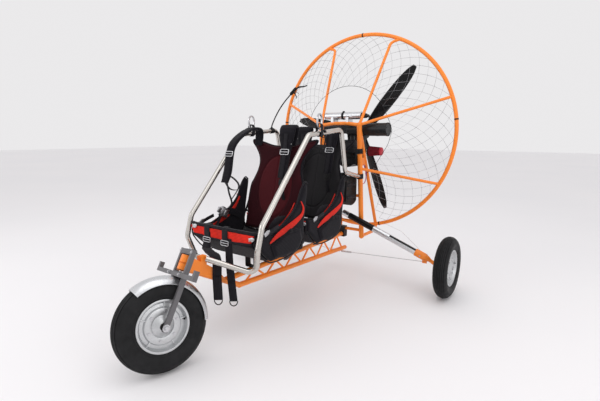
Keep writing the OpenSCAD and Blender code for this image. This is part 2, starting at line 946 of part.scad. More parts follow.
module fork() {
    color(fork_grey) fork_frame() difference() {
        union() {
            both_sides() translate([-leg_depth / 2, leg_in, -18])
                cube([leg_depth, leg_thick, fork_length + 18]);
            translate([-leg_depth / 2, -leg_in - 1, fork_length - plate_thick])
                cube([leg_depth, 2 * leg_in + 2, plate_thick]);
            translate([-leg_depth / 2, -leg_in - 1, lower_plate_z])
                cube([leg_depth, 2 * leg_in + 2, plate_thick]);
        }
        translate([0, 0, lower_plate_z - 1])
            cylinder(h = fork_length, r = steering_pin_r + gap);
        rotate([90, 0, 0])
            cylinder(h = 4 * leg_in, r = wheel_axle_r + gap, center = true);
    }
}

module steering_pin() {
    head_h = 7;
    color(steel) fork_frame() {
        translate([0, 0, lower_plate_z]) cylinder(h = fork_length - lower_plate_z + 1, r = steering_pin_r);
        translate([0, 0, fork_length + gap]) cylinder(h = head_h, r = 13, $fn = 6);
    }
}

foot_bar_size = 20;

module foot_bar() {
    rise = 26;
    color(fork_grey) fork_frame() translate([leg_depth / 2 + gap, 0, lower_plate_z]) {
        translate([0, -foot_bar_half, 0]) cube([foot_bar_size, 2 * foot_bar_half, foot_bar_size]);
        both_sides() translate([0, foot_bar_half - foot_bar_size, 0])
            cube([foot_bar_size, foot_bar_size, foot_bar_size + rise]);
    }
}

module mudguard() {
    front_end = 30;
    rear_end = 158;
    color(silver) fork_frame() rotate([90, 0, 0]) rotate([0, 0, front_end])
        rotate_extrude(angle = rear_end - front_end, $fn = 120)
            translate([front_tyre_r - tyre_tube_r, 0]) difference() {
                circle(r = tyre_tube_r + mudguard_gap + mudguard_wall, $fn = 64);
                circle(r = tyre_tube_r + mudguard_gap, $fn = 64);
                translate([-200 + 22, -100]) square([200, 200]);
                translate([0, tyre_tube_r + 4]) square([200, 100]);
                translate([0, -tyre_tube_r - 104]) square([200, 100]);
            }
}

module front_axle() {
    half = leg_in + leg_thick;
    color(steel) fork_frame() rotate([90, 0, 0]) {
        cylinder(h = 2 * half + 2, r = wheel_axle_r, center = true);
        for (s = [-1, 1]) translate([0, 0, s * (half + 5 + gap)])
            cylinder(h = 10, r = 10, center = true, $fn = 6);
    }
}

// Half section of a tyre around the wheel's own axis
module tyre_section(r, w) {
    hole = rim_r + gap;
    round_r = w / 2;
    bead_half = round_r * 0.72;
    intersection() {
        union() {
            translate([r - round_r, 0]) circle(r = round_r, $fn = 64);
            translate([hole, -bead_half]) square([r - round_r - hole, 2 * bead_half]);
        }
        translate([hole, -round_r]) square([r - hole, w]);
    }
}

module tyre(r, w) {
    rotate([90, 0, 0]) rotate_extrude($fn = 160) tyre_section(r, w);
}

// Wheel rim: barrel, dished disc and hub, with a bore for the axle
module rim(w) {
    barrel_half = w * 0.36;
    flange = rim_r - 8;
    half = [
        [wheel_axle_r + shaft_gap, barrel_half + 4], [26, barrel_half + 4], [44, barrel_half - 8],
        [58, barrel_half - 14], [82, barrel_half - 14], [flange - 6, barrel_half - 4],
        [flange - 3, barrel_half], [rim_r, barrel_half]
    ];
    rotate([90, 0, 0]) rotate_extrude($fn = 120)
        polygon(concat(half, [for (i = [len(half) - 1 : -1 : 0]) [half[i].x, -half[i].y]]));
}

module front_tyre() {
    color(black) fork_frame() tyre(front_tyre_r, front_tyre_w);
}

module front_rim() {
    color(silver) fork_frame() rim(front_tyre_w);
}

module rear_wheel_place(side) {
    placed() translate([rear_axle_x, side * track / 2, rear_tyre_r]) children();
}

module rear_tyre_left() {
    color(black) rear_wheel_place(1) tyre(rear_tyre_r, rear_tyre_w);
}

module rear_rim_left() {
    color(silver) rear_wheel_place(1) rim(rear_tyre_w);
}

module rear_tyre_right() {
    color(black) rear_wheel_place(-1) tyre(rear_tyre_r, rear_tyre_w);
}

module rear_rim_right() {
    color(silver) rear_wheel_place(-1) rim(rear_tyre_w);
}

// ---------- propeller ----------

prop_hub_r = 52;
blade_count = 3;
blade_sections = 15;
blade_root = 40;

function blade_width(s) = blade_chord * (s < 0.45 ? 0.5 + 0.5 * sin(s / 0.45 * 90)
    : max(0.12, sqrt(max(0, 1 - pow((s - 0.45) / 0.57, 2.6)))));
function blade_thick(s) = 18 - 14 * s;
function blade_pitch(s) = 34 - 22 * s;

module blade() {
    sides = 12;
    rings = [
        for (k = [0 : blade_sections - 1])
            let (
                s = k / (blade_sections - 1),
                y = blade_root + s * (prop_r - blade_root),
                c = blade_width(s) / 2,
                t = blade_thick(s) / 2,
                p = blade_pitch(s)
            ) for (j = [0 : sides - 1])
                let (u = c * cos(360 * j / sides), v = t * sin(360 * j / sides))
                    [v * cos(p) + u * sin(p), y, u * cos(p) - v * sin(p)]
    ];
    skin(rings, sides);
}

module prop_place() {
    placed() translate([prop_plane_x, 0, ring_z]) rotate([blade_angle, 0, 0]) children();
}

module prop_hub() {
    color(dark) prop_place() rotate([0, 90, 0]) difference() {
        cylinder(h = 2 * prop_half_depth, r = prop_hub_r, center = true);
        cylinder(h = 200, r = 11 + shaft_gap, center = true);
    }
}

module prop_blades() {
    color(black) prop_place() difference() {
        for (i = [0 : blade_count - 1]) rotate([i * 360 / blade_count, 0, 0]) blade();
        rotate([0, 90, 0]) cylinder(h = 200, r = prop_hub_r + gap, center = true);
    }
}

keel_frame();
head_tube();
side_bar_left();
side_bar_right();
frame_side_left();
frame_side_right();
frame_cross_tubes();
frame_clamps();
cage_ring();
ring_sleeves();
cage_spokes();
axle_tubes();
wheel_holders();
axle_stays();
engine_block();
reduction_drive();
silencer();
exhaust_can();
air_filter();
fuel_tank();
front_seat_tub();
front_seat_back();
rear_seat_tub();
rear_seat_back();
front_shoulder_straps();
rear_shoulder_straps();
leg_straps();
seat_lashings();
hang_loops();
karabiners();
throttle_cable();
throttle_grip();
fork();
steering_pin();
foot_bar();
mudguard();
front_axle();
front_tyre();
front_rim();
rear_tyre_left();
rear_rim_left();
rear_tyre_right();
rear_rim_right();
prop_hub();
prop_blades();
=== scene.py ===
import json
import math
import bpy
from mathutils import Matrix, Vector


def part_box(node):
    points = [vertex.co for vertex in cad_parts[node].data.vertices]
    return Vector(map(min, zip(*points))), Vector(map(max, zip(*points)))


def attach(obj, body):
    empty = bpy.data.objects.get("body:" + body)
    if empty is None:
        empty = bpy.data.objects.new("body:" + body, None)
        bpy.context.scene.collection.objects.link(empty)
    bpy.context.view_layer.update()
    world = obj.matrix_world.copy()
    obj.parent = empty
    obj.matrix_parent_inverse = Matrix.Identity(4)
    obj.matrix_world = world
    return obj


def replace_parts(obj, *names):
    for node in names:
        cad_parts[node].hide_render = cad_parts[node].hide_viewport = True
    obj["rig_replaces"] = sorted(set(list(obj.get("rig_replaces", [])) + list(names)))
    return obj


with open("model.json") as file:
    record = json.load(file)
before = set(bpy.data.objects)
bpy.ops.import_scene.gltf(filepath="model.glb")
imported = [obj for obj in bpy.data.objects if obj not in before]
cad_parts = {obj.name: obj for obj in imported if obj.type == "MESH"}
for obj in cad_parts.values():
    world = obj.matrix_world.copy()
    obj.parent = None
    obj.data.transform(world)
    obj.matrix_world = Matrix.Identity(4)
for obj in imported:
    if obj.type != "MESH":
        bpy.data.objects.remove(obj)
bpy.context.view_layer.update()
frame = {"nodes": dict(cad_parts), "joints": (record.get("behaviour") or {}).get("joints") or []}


def box_of(node):
    low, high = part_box(node)
    return Vector(low), Vector(high)


def centre_of(node):
    low, high = box_of(node)
    return (low + high) / 2


# Everything on the chassis is measured forward from the middle of the cage ring
ring_middle = centre_of("cage_ring")


def at(x, y, z):
    return Vector((x + ring_middle.x, y, z))


# ---------- hand tools ----------

def clear():
    bpy.ops.object.select_all(action="DESELECT")


def only(piece):
    clear()
    piece.select_set(True)
    bpy.context.view_layer.objects.active = piece


def name_it(piece, name):
    piece.name = name
    piece.data.name = name
    return piece


def settle(piece):
    only(piece)
    bpy.ops.object.transform_apply(location=True, rotation=True, scale=True)


def apply_all(piece):
    only(piece)
    for modifier in list(piece.modifiers):
        bpy.ops.object.modifier_apply(modifier=modifier.name)


def bevelled(piece, width, segments=2, angle=35):
    bevel = piece.modifiers.new("edges", "BEVEL")
    bevel.width = width
    bevel.segments = segments
    bevel.limit_method = "ANGLE"
    bevel.angle_limit = math.radians(angle)
    apply_all(piece)


def smooth(piece, angle=40):
    only(piece)
    bpy.ops.object.shade_smooth_by_angle(angle=math.radians(angle))


def give(piece, material, body="chassis"):
    piece.data.materials.clear()
    piece.data.materials.append(material)
    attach(piece, body)
    return piece


def turn_to(direction):
    return Vector(direction).normalized().to_track_quat("Z", "Y").to_matrix().to_4x4()


def edit(piece):
    only(piece)
    bpy.ops.object.mode_set(mode="EDIT")


def done():
    bpy.ops.object.mode_set(mode="OBJECT")


def outward(piece):
    """Turns all normals outward."""
    edit(piece)
    bpy.ops.mesh.select_all(action="SELECT")
    bpy.ops.mesh.normals_make_consistent(inside=False)
    done()


def from_points(name, points, edges=(), faces=()):
    mesh = bpy.data.meshes.new(name)
    mesh.from_pydata([tuple(p) for p in points], edges, faces)
    piece = bpy.data.objects.new(name, mesh)
    bpy.context.collection.objects.link(piece)
    return piece




def pick_faces(piece, test):
    """Selects the faces whose middle and normal pass the test."""
    bpy.ops.object.mode_set(mode="OBJECT")
    for part in (piece.data.vertices, piece.data.edges, piece.data.polygons):
        for item in part:
            item.select = False
    for face in piece.data.polygons:
        face.select = bool(test(face.center, face.normal))
    bpy.ops.object.mode_set(mode="EDIT")
    bpy.ops.mesh.select_mode(type="FACE")


def disc(name, middle, direction, radius, depth, sides=48, bevel=0.0):
    """A turned disc or bar whose middle and axis are given."""
    clear()
    bpy.ops.mesh.primitive_cylinder_add(vertices=sides, radius=radius, depth=depth)
    piece = name_it(bpy.context.object, name)
    if bevel:
        bevelled(piece, bevel)
    piece.matrix_world = Matrix.Translation(Vector(middle)) @ turn_to(direction)
    settle(piece)
    smooth(piece)
    return piece


def block(name, middle, size, bevel=0.002, turn=None):
    clear()
    bpy.ops.mesh.primitive_cube_add(size=1)
    piece = name_it(bpy.context.object, name)
    piece.scale = size
    settle(piece)
    bevelled(piece, bevel)
    piece.matrix_world = Matrix.Translation(Vector(middle)) @ (turn or Matrix.Identity(4))
    settle(piece)
    smooth(piece)
    return piece


def hex_bolt(name, middle, direction, across=0.010, height=0.005, washer=True):
    """Bolt head on its washer, with a domed top."""
    clear()
    bpy.ops.mesh.primitive_cylinder_add(vertices=6, radius=across * 0.577, depth=height,
                                        location=(0, 0, height / 2))
    head = name_it(bpy.context.object, name)
    settle(head)
    edit(head)
    pick_faces(head, lambda c, n: n.z > 0.9)
    bpy.ops.mesh.inset(thickness=across * 0.09)
    bpy.ops.transform.translate(value=(0, 0, height * 0.12))
    done()
    parts = [head]
    if washer:
        bpy.ops.mesh.primitive_cylinder_add(vertices=20, radius=across * 0.86, depth=0.0012,
                                            location=(0, 0, 0.0002))
        parts.append(bpy.context.object)
    piece = join(name, parts)
    piece.matrix_world = Matrix.Translation(Vector(middle)) @ turn_to(direction)
    settle(piece)
    return piece


def bolt_ring(middle, direction, radius, count, first, across, height, washer=True):
    """Bolt heads round a circle that faces along X or Y; first is the first one's angle."""
    level = Vector((abs(direction[1]), abs(direction[0]), 0))
    spots = [(first + 2 * math.pi * k / count) for k in range(count)]
    return [hex_bolt("bolt", Vector(middle) + radius * (math.cos(a) * level + math.sin(a) * Vector((0, 0, 1))),
                     direction, across, height, washer) for a in spots]


def join(name, parts):
    clear()
    for part in parts:
        part.select_set(True)
    bpy.context.view_layer.objects.active = parts[0]
    if len(parts) > 1:
        bpy.ops.object.join()
    return name_it(bpy.context.object, name)


def wire(name, points, radius, closed=False, sides=3, smooth_path=False):
    """Round bar or cord along points, made as a curve and then turned into a mesh."""
    data = bpy.data.curves.new(name, "CURVE")
    data.dimensions = "3D"
    data.bevel_depth = radius
    data.bevel_resolution = sides
    data.use_fill_caps = True
    data.resolution_u = 6
    spline = data.splines.new("NURBS" if smooth_path else "POLY")
    spline.points.add(len(points) - 1)
    for point, place in zip(spline.points, points):
        point.co = (*place, 1)
    spline.use_cyclic_u = closed
    if smooth_path:
        spline.order_u = 3
        spline.use_endpoint_u = not closed
    piece = bpy.data.objects.new(name, data)
    bpy.context.collection.objects.link(piece)
    only(piece)
    bpy.ops.object.convert(target="MESH")
    piece = name_it(bpy.context.object, name)
    smooth(piece, 50)
    return piece


def turned(name, profile, sides, middle, axis):
    """Spins an open profile of (radius, along) points around the axis."""
    piece = from_points(name, [(r, 0, h) for r, h in profile], [(i, i + 1) for i in range(len(profile) - 1)])
    edit(piece)
    bpy.ops.mesh.select_all(action="SELECT")
    bpy.ops.mesh.spin(steps=sides, angle=2 * math.pi, center=(0, 0, 0), axis=(0, 0, 1))
    bpy.ops.mesh.select_all(action="SELECT")
    bpy.ops.mesh.remove_doubles(threshold=0.00002)
    bpy.ops.mesh.normals_make_consistent(inside=False)
    done()
    piece.matrix_world = Matrix.Translation(Vector(middle)) @ turn_to(axis)
    settle(piece)
    smooth(piece, 35)
    return piece


def route_frames(route, side):
    frames = []
    count = len(route)
    for k in range(count):
        ahead = (route[min(k + 1, count - 1)] - route[max(k - 1, 0)]).normalized()
        want = side(k / (count - 1)) if callable(side) else Vector(side)
        across = (want - want.dot(ahead) * ahead).normalized()
        frames.append((ahead, across, ahead.cross(across)))
    return frames


def eased(points, steps=6):
    """Smooth route through given points."""
    points = [Vector(p) for p in points]
    out = []
    for i in range(len(points) - 1):
        a, b = points[max(i - 1, 0)], points[i]
        c, d = points[i + 1], points[min(i + 2, len(points) - 1)]
        for k in range(steps):
            t = k / steps
            out.append(0.5 * (2 * b + (c - a) * t + (2 * a - 5 * b + 4 * c - d) * t * t
                              + (3 * b - a - 3 * c + d) * t ** 3))
    out.append(points[-1])
    return out


def swept_band(name, route, side, width, thick, corner=0.45, sides=12):
    """Flat band with rounded edges along a route; width and thick may change with the share of its length."""
    frames = route_frames(route, side)
    verts, faces, uvs = [], [], []
    total = sum((route[k + 1] - route[k]).length for k in range(len(route) - 1))
    run = 0
    count = len(route)
    for k, place in enumerate(route):
        if k:
            run += (place - route[k - 1]).length
        share = run / total
        w = width(share) if callable(width) else width
        t = thick(share) if callable(thick) else thick
        ahead, across, up = frames[k]
        for j in range(sides):
            a = 2 * math.pi * (j + 0.5) / sides
            c, s = math.cos(a), math.sin(a)
            grow = max(abs(c), abs(s)) ** -1
            square = 1 + (grow - 1) * (1 - corner)
            verts.append(place + across * (w / 2 * c * square) + up * (t / 2 * s * square))
            uvs.append((run, w * c * 0.5))
    for k in range(count - 1):
        for j in range(sides):
            a, b = k * sides + j, k * sides + (j + 1) % sides
            faces.append((a, b, b + sides, a + sides))
    faces.append(tuple(range(sides))[::-1])
    faces.append(tuple((count - 1) * sides + j for j in range(sides)))
    piece = from_points(name, verts, faces=faces)
    layer = piece.data.uv_layers.new(name="along")
    for loop in piece.data.loops:
        layer.data[loop.index].uv = uvs[loop.vertex_index]
    outward(piece)
    smooth(piece, 60)
    return piece


# ---------- finishes ----------

class Finish:
    """A new material whose nodes are added one call at a time."""

    def __init__(self, name, colour, rough, metallic=0.0, **more):
        self.material = bpy.data.materials.new(name)
        self.material.use_nodes = True
        self.nodes = self.material.node_tree.nodes
        self.links = self.material.node_tree.links
        self.shader = self.nodes["Principled BSDF"]
        self.shader.inputs["Base Color"].default_value = (*colour, 1)
        self.shader.inputs["Roughness"].default_value = rough
        self.shader.inputs["Metallic"].default_value = metallic
        for socket, value in more.items():
            self.shader.inputs[socket.replace("_", " ")].default_value = value

    def noise(self, scale, detail=4, stretch=(1, 1, 1), coords="Object"):
        place = self.nodes.new("ShaderNodeTexCoord")
        mapping = self.nodes.new("ShaderNodeMapping")
        mapping.inputs["Scale"].default_value = stretch
        self.links.new(place.outputs[coords], mapping.inputs["Vector"])
        texture = self.nodes.new("ShaderNodeTexNoise")
        texture.inputs["Scale"].default_value = scale
        texture.inputs["Detail"].default_value = detail
        self.links.new(mapping.outputs["Vector"], texture.inputs["Vector"])
        return texture.outputs["Fac"]

    def spread(self, value, low, high, start=0.3, end=0.7):
        ramp = self.nodes.new("ShaderNodeMapRange")
        for socket, amount in (("From Min", start), ("From Max", end), ("To Min", low), ("To Max", high)):
            ramp.inputs[socket].default_value = amount
        self.links.new(value, ramp.inputs["Value"])
        return ramp.outputs["Result"]

    def tint(self, value, first, second):
        mix = self.nodes.new("ShaderNodeMix")
        mix.data_type = "RGBA"
        mix.inputs[6].default_value = (*first, 1)
        mix.inputs[7].default_value = (*second, 1)
        self.links.new(value, mix.inputs[0])
        self.links.new(mix.outputs[2], self.shader.inputs["Base Color"])

    def rough(self, value, low, high):
        self.links.new(self.spread(value, low, high), self.shader.inputs["Roughness"])

    def bump(self, value, strength, distance):
        node = self.nodes.new("ShaderNodeBump")
        node.inputs["Strength"].default_value = strength
        node.inputs["Distance"].default_value = distance
        self.links.new(value, node.inputs["Height"])
        self.links.new(node.outputs["Normal"], self.shader.inputs["Normal"])

    def waves(self, axis, scale, distortion=0.0, coords="Object"):
        place = self.nodes.new("ShaderNodeTexCoord")
        texture = self.nodes.new("ShaderNodeTexWave")
        texture.bands_direction = axis
        texture.inputs["Scale"].default_value = scale
        texture.inputs["Distortion"].default_value = distortion
        self.links.new(place.outputs[coords], texture.inputs["Vector"])
        return texture.outputs["Fac"]

    def maths(self, how, first, second):
        node = self.nodes.new("ShaderNodeMath")
        node.operation = how
        for slot, value in ((0, first), (1, second)):
            if isinstance(value, (int, float)):
                node.inputs[slot].default_value = value
            else:
                self.links.new(value, node.inputs[slot])
        return node.outputs[0]

    def add(self, first, second):
        return self.maths("ADD", first, second)

    def times(self, first, second):
        return self.maths("MULTIPLY", first, second)


def lighter(colour, by, lift):
    return tuple(min(1, c * by + lift) for c in colour)


def darker(colour, by):
    return tuple(c * by for c in colour)


def powder_coat(name, colour, rough=0.36):
    f = Finish(name, colour, rough, Coat_Weight=0.12, Specular_IOR_Level=0.3, Coat_Roughness=0.18)
    f.tint(f.spread(f.noise(9, 5), 0, 1), colour, darker(colour, 0.9))
    f.rough(f.noise(30, 6), rough - 0.07, rough + 0.1)
    f.bump(f.noise(420, 2), 0.12, 0.0006)
    return f.material


def bright_metal(name, colour, rough=0.24, stretch=(2, 60, 60), worn=0.82):
    f = Finish(name, colour, rough, 1.0)
    brushed = f.noise(14, 8, stretch)
    f.tint(f.spread(brushed, 0, 1, 0.25, 0.75), colour, darker(colour, worn))
    f.rough(brushed, rough - 0.07, rough + 0.12)
    f.bump(brushed, 0.08, 0.0004)
    return f.material


def cast_metal(name, colour, rough=0.5, metallic=0.75):
    f = Finish(name, colour, rough, metallic)
    grain = f.noise(260, 4)
    f.tint(f.spread(f.noise(22, 6), 0, 1), colour, darker(colour, 0.7))
    f.rough(f.noise(45, 4), rough - 0.1, rough + 0.14)
    f.bump(grain, 0.3, 0.0008)
    return f.material


def cloth(name, colour, thread=900, sheen=0.10):
    """Plain weave: threads over and under in all three directions, faded a little in patches."""
    f = Finish(name, colour, 0.86, Sheen_Weight=sheen, Sheen_Roughness=0.45, Specular_IOR_Level=0.12)
    first, other, third = (f.waves(axis, thread / 20, 0.6) for axis in "XZY")
    weave = f.times(f.add(first, third), other)
    fade = f.noise(7, 6)
    tone = f.add(f.times(weave, 0.35), f.times(fade, 0.9))
    f.tint(f.spread(tone, 0, 1, 0.3, 1.0), darker(colour, 0.6), lighter(colour, 1.5, 0.004))
    f.rough(fade, 0.78, 0.94)
    f.bump(f.add(weave, f.times(fade, 2.5)), 0.45, 0.0016)
    return f.material


def webbing(name, colour):
    """Woven strap: ribs across and fainter lines along its length; reads the strap's own length and width."""
    f = Finish(name, colour, 0.6, Sheen_Weight=0.08, Specular_IOR_Level=0.15)
    weave = f.add(f.waves("X", 60, 0.3, "UV"), f.times(f.waves("Y", 45, 0.2, "UV"), 0.6))
    f.tint(f.spread(weave, 0, 1, 0.1, 1.4), darker(colour, 0.55), tuple(c * 1.6 + 0.004 for c in colour))
    f.rough(f.noise(60, 4), 0.5, 0.75)
    f.bump(weave, 0.4, 0.0012)
    return f.material


def moulded(name, colour, rough=0.55, grain=300, depth=0.2):
    f = Finish(name, colour, rough, Specular_IOR_Level=0.2)
    f.tint(f.spread(f.noise(18, 6), 0, 1), colour, lighter(colour, 1.5, 0.002))
    f.rough(f.noise(50, 5), rough - 0.12, rough + 0.12)
    f.bump(f.noise(grain, 3), depth, 0.0008)
    return f.material


orange = powder_coat("orange_powder_coat", (1.0, 0.27, 0.030))
grey = powder_coat("grey_powder_coat", (0.135, 0.13, 0.137), 0.42)
black_coat = powder_coat("black_heat_paint", (0.012, 0.012, 0.013), 0.45)
stainless = bright_metal("polished_stainless", (0.66, 0.63, 0.59), 0.2)
zinc = bright_metal("zinc_plated_steel", (0.62, 0.62, 0.64), 0.3, (20, 20, 20))
aluminium = bright_metal("drawn_aluminium", (0.72, 0.73, 0.75), 0.3, (8, 8, 8), 0.88)
spun = bright_metal("cast_wheel_silver", (0.60, 0.61, 0.62), 0.38, (10, 10, 10), 0.9)
guard_silver = bright_metal("silver_mudguard_paint", (0.68, 0.69, 0.71), 0.3, (6, 6, 6), 0.93)
dark_metal = cast_metal("dark_cast_metal", (0.024, 0.024, 0.027))
black_plastic = moulded("black_plastic", (0.007, 0.007, 0.0075), 0.5)
rubber = moulded("tyre_rubber", (0.0085, 0.0085, 0.0092), 0.6, 180, 0.3)
grip_rubber = moulded("grip_rubber", (0.006, 0.006, 0.006), 0.75, 120, 0.5)
composite = moulded("gloss_composite", (0.005, 0.005, 0.0055), 0.25, 60, 0.05)
cordura = cloth("black_pack_cloth", (0.0065, 0.0055, 0.0085), 900)
red_cloth = cloth("red_pack_cloth", (0.62, 0.022, 0.012), 900, 0.08)
strap_black = webbing("black_webbing", (0.0060, 0.0050, 0.0080))
filter_red = cloth("red_filter_gauze", (0.20, 0.014, 0.024), 1400, 0.05)
net_grey = moulded("grey_net_cord", (0.23, 0.23, 0.24), 0.7, 500, 0.3)
label_white = moulded("white_cloth_label", (0.72, 0.72, 0.70), 0.7, 300, 0.2)

node_finish = {
    "keel_frame": orange, "head_tube": orange, "frame_side_left": orange, "frame_side_right": orange,
    "frame_cross_tubes": orange, "cage_ring": orange, "cage_spokes": orange, "wheel_holders": orange,
    "side_bar_left": stainless, "side_bar_right": stainless, "frame_clamps": black_plastic,
    "ring_sleeves": black_plastic, "axle_tubes": aluminium, "axle_stays": zinc, "engine_block": dark_metal,
    "reduction_drive": dark_metal, "silencer": black_coat, "exhaust_can": aluminium, "fuel_tank": black_plastic,
    "karabiners": zinc, "fork": grey, "foot_bar": grey, "steering_pin": zinc, "front_axle": zinc,
    "mudguard": guard_silver, "prop_hub": dark_metal, "prop_blades": composite,
    "throttle_cable": black_plastic, "throttle_grip": black_plastic, "air_filter": filter_red,
    "seat_lashings": strap_black, "hang_loops": strap_black,
}
for node_name, node in frame["nodes"].items():
    node.data.materials.clear()
    node.data.materials.append(node_finish.get(node_name, cordura))

# ---------- floor, light and camera ----------

bpy.context.scene.view_settings.view_transform = "Standard"

clear()
bpy.ops.mesh.primitive_plane_add(size=60, location=(0, 0, 0))
floor = name_it(bpy.context.object, "studio_floor")
floor_finish = Finish("pale_studio_floor", (0.80, 0.79, 0.80), 0.7)
floor_finish.tint(floor_finish.spread(floor_finish.noise(0.4, 3), 0, 1), (0.90, 0.885, 0.895),
                  (0.875, 0.865, 0.88))
floor.data.materials.append(floor_finish.material)

world = bpy.data.worlds.new("studio")
bpy.context.scene.world = world
world.use_nodes = True
world.node_tree.nodes["Background"].inputs["Color"].default_value = (0.90, 0.89, 0.90, 1)
world.node_tree.nodes["Background"].inputs["Strength"].default_value = 0.92


def soft_light(name, place, aim, size, power):
    data = bpy.data.lights.new(name, "AREA")
    data.shape = "RECTANGLE"
    data.size, data.size_y = size
    data.energy = power
    lamp = bpy.data.objects.new(name, data)
    bpy.context.collection.objects.link(lamp)
    lamp.location = place
    lamp.rotation_euler = (Vector(aim) - Vector(place)).to_track_quat("-Z", "Y").to_euler()


soft_light("overhead_softbox", (0.6, 0.8, 4.2), (0, 0, 0.5), (3.5, 3.5), 38)
soft_light("left_softbox", (3.2, -2.6, 2.4), (0.2, 0, 0.6), (2.0, 2.4), 26)
soft_light("right_softbox", (1.2, 4.2, 2.2), (0.0, 0, 0.8), (2.0, 2.4), 22)

camera_data = bpy.data.cameras.new("main_camera")
camera_data.lens = 24
camera_data.sensor_width = 36
camera = bpy.data.objects.new("main_camera", camera_data)
bpy.context.collection.objects.link(camera)
bpy.context.scene.camera = camera
azimuth, drop, roll = 0.6164, 0.160, 0.0042
look = Vector((-math.cos(azimuth) * math.cos(drop), -math.sin(azimuth) * math.cos(drop), -math.sin(drop)))
sideways = look.cross(Vector((0, 0, 1))).normalized()
upward = sideways.cross(look)
tilted_side = math.cos(roll) * sideways + math.sin(roll) * upward
tilted_up = math.cos(roll) * upward - math.sin(roll) * sideways
camera.matrix_world = Matrix.Translation((1.8663, 1.4539, 1.034)) @ Matrix((
    (tilted_side.x, tilted_up.x, -look.x), (tilted_side.y, tilted_up.y, -look.y),
    (tilted_side.z, tilted_up.z, -look.z))).to_4x4()

# ---------- cage net ----------

net_cords = 44
net_side = 0.058
net_inner = 0.333
net_outer = 0.7125
frame_half = 0.155
loop_depths = [(-64, 0.19), (-30, 0.250), (-8, 0.20), (3, 0.172), (13, 0.20), (21, 0.226), (66, 0.210),
               (114, 0.210), (159, 0.226), (210, 0.250), (244, 0.19)]


def loop_depth(angle):
    """Forward distance of the net's inner loop at an angle from the left, in degrees."""
    angle = max(-64, min(244, angle))
    for (a, x), (b, y) in zip(loop_depths, loop_depths[1:]):
        if angle <= b:
            share = (angle - a) / (b - a)
            share = share * share * (3 - 2 * share)
            return x + (y - x) * share
    return loop_depths[-1][1]


def net_place(radius, angle):
    share = (radius - net_inner) / (net_outer - net_inner)
    forward = loop_depth(angle) * (1 - share) + 0.002
    return at(forward, radius * math.cos(math.radians(angle)),
              ring_middle.z + radius * math.sin(math.radians(angle)))


def outside_frame(place):
    return abs(place.y) >= frame_half + 0.012 or place.z > ring_middle.z


def cage_net():
    radii = [net_inner]
    while radii[-1] < net_outer - 0.006:
        half = math.pi * radii[-1] / net_cords
        radii.append(radii[-1] + math.sqrt(max(net_side ** 2 - half ** 2, 0.0004)))
    radii = [net_inner + (r - net_inner) * (net_outer - net_inner) / (radii[-1] - net_inner) for r in radii]
    step = 360 / net_cords
    places, edges = [], []
    spots = {}

    def knot(k, j):
        key = (k, j % net_cords)
        if key not in spots:
            angle = ((j % net_cords) + (k % 2) / 2) * step
            angle = angle - 360 if angle > 270 else angle
            spots[key] = len(places)
            places.append(net_place(radii[k], angle))
        return spots[key]

    for k in range(len(radii) - 1):
        for j in range(net_cords):
            for other in ((k + 1, j), (k + 1, j - 1) if k % 2 == 0 else (k + 1, j + 1)):
                a, b = knot(k, j), knot(*other)
                if outside_frame(places[a]) and outside_frame(places[b]):
                    edges.append((a, b))
    net = from_points("cage_net", places, edges)
    edit(net)
    bpy.ops.mesh.select_all(action="SELECT")
    bpy.ops.mesh.delete_loose(use_verts=True, use_edges=False, use_faces=False)
    done()
    bpy.ops.object.convert(target="CURVE")
    net.data.bevel_depth = 0.00105
    net.data.bevel_resolution = 0
    bpy.ops.object.convert(target="MESH")
    give(name_it(bpy.context.object, "cage_net"), net_grey)
    loop = [net_place(net_inner, -64 + 308 * k / 60) for k in range(61)]
    ends = [at(0.188, side * frame_half, 0.765) for side in (1, -1)]
    give(wire("net_inner_loop", [ends[0]] + loop + [ends[1]], 0.0015, sides=2), dark_metal)
    rim = [at(0.002, net_outer * math.cos(a), ring_middle.z + net_outer * math.sin(a))
           for a in (math.radians(-77 + 334 * k / 90) for k in range(91))]
    give(wire("net_edge_cord", rim, 0.0014, sides=2), net_grey)


cage_net()


# ---------- wheels ----------

fork_hub = centre_of("front_rim")
front_axle_line = Vector(next(j for j in frame["joints"] if j["name"] == "front_wheel_spin")["axis"]).normalized()


def tyre_profile(radius, width, bead, ribs):
    """Half tyre section from one bead over the tread to the other, as (radius, across)."""
    half = width / 2 - 0.0006
    middle = radius - width / 2
    points = [(bead + 0.0004, -half * 0.70), (bead + 0.004, -half * 0.76), (bead + 0.010, -half * 0.84),
              (bead + 0.0125, -half * 0.83), (bead + 0.018, -half * 0.90)]
    steps = 64
    for k in range(steps + 1):
        a = math.pi * (-0.44 + 0.88 * k / steps)
        out = half
        turn = math.sin(a)
        groove = 0
        for spot in ribs:
            groove = max(groove, math.exp(-((turn - spot) / 0.022) ** 4))
        ring = 0.0007 * math.exp(-((abs(turn) - 0.93) / 0.010) ** 2)
        points.append((middle + (out + 0.0002 - 0.0042 * groove + ring) * math.cos(a),
                       (out - 0.0042 * groove + ring) * turn))
    tail = [(r, -h) for r, h in points[:5]][::-1]
    inside = [(bead + 0.0004, half * 0.5), (bead + 0.0004, -half * 0.5), points[0]]
    return points + tail + inside


front_ribs = (-0.62, -0.36, -0.12, 0.12, 0.36, 0.62)
rear_ribs = (-0.66, -0.44, -0.22, 0.0, 0.22, 0.44, 0.66)


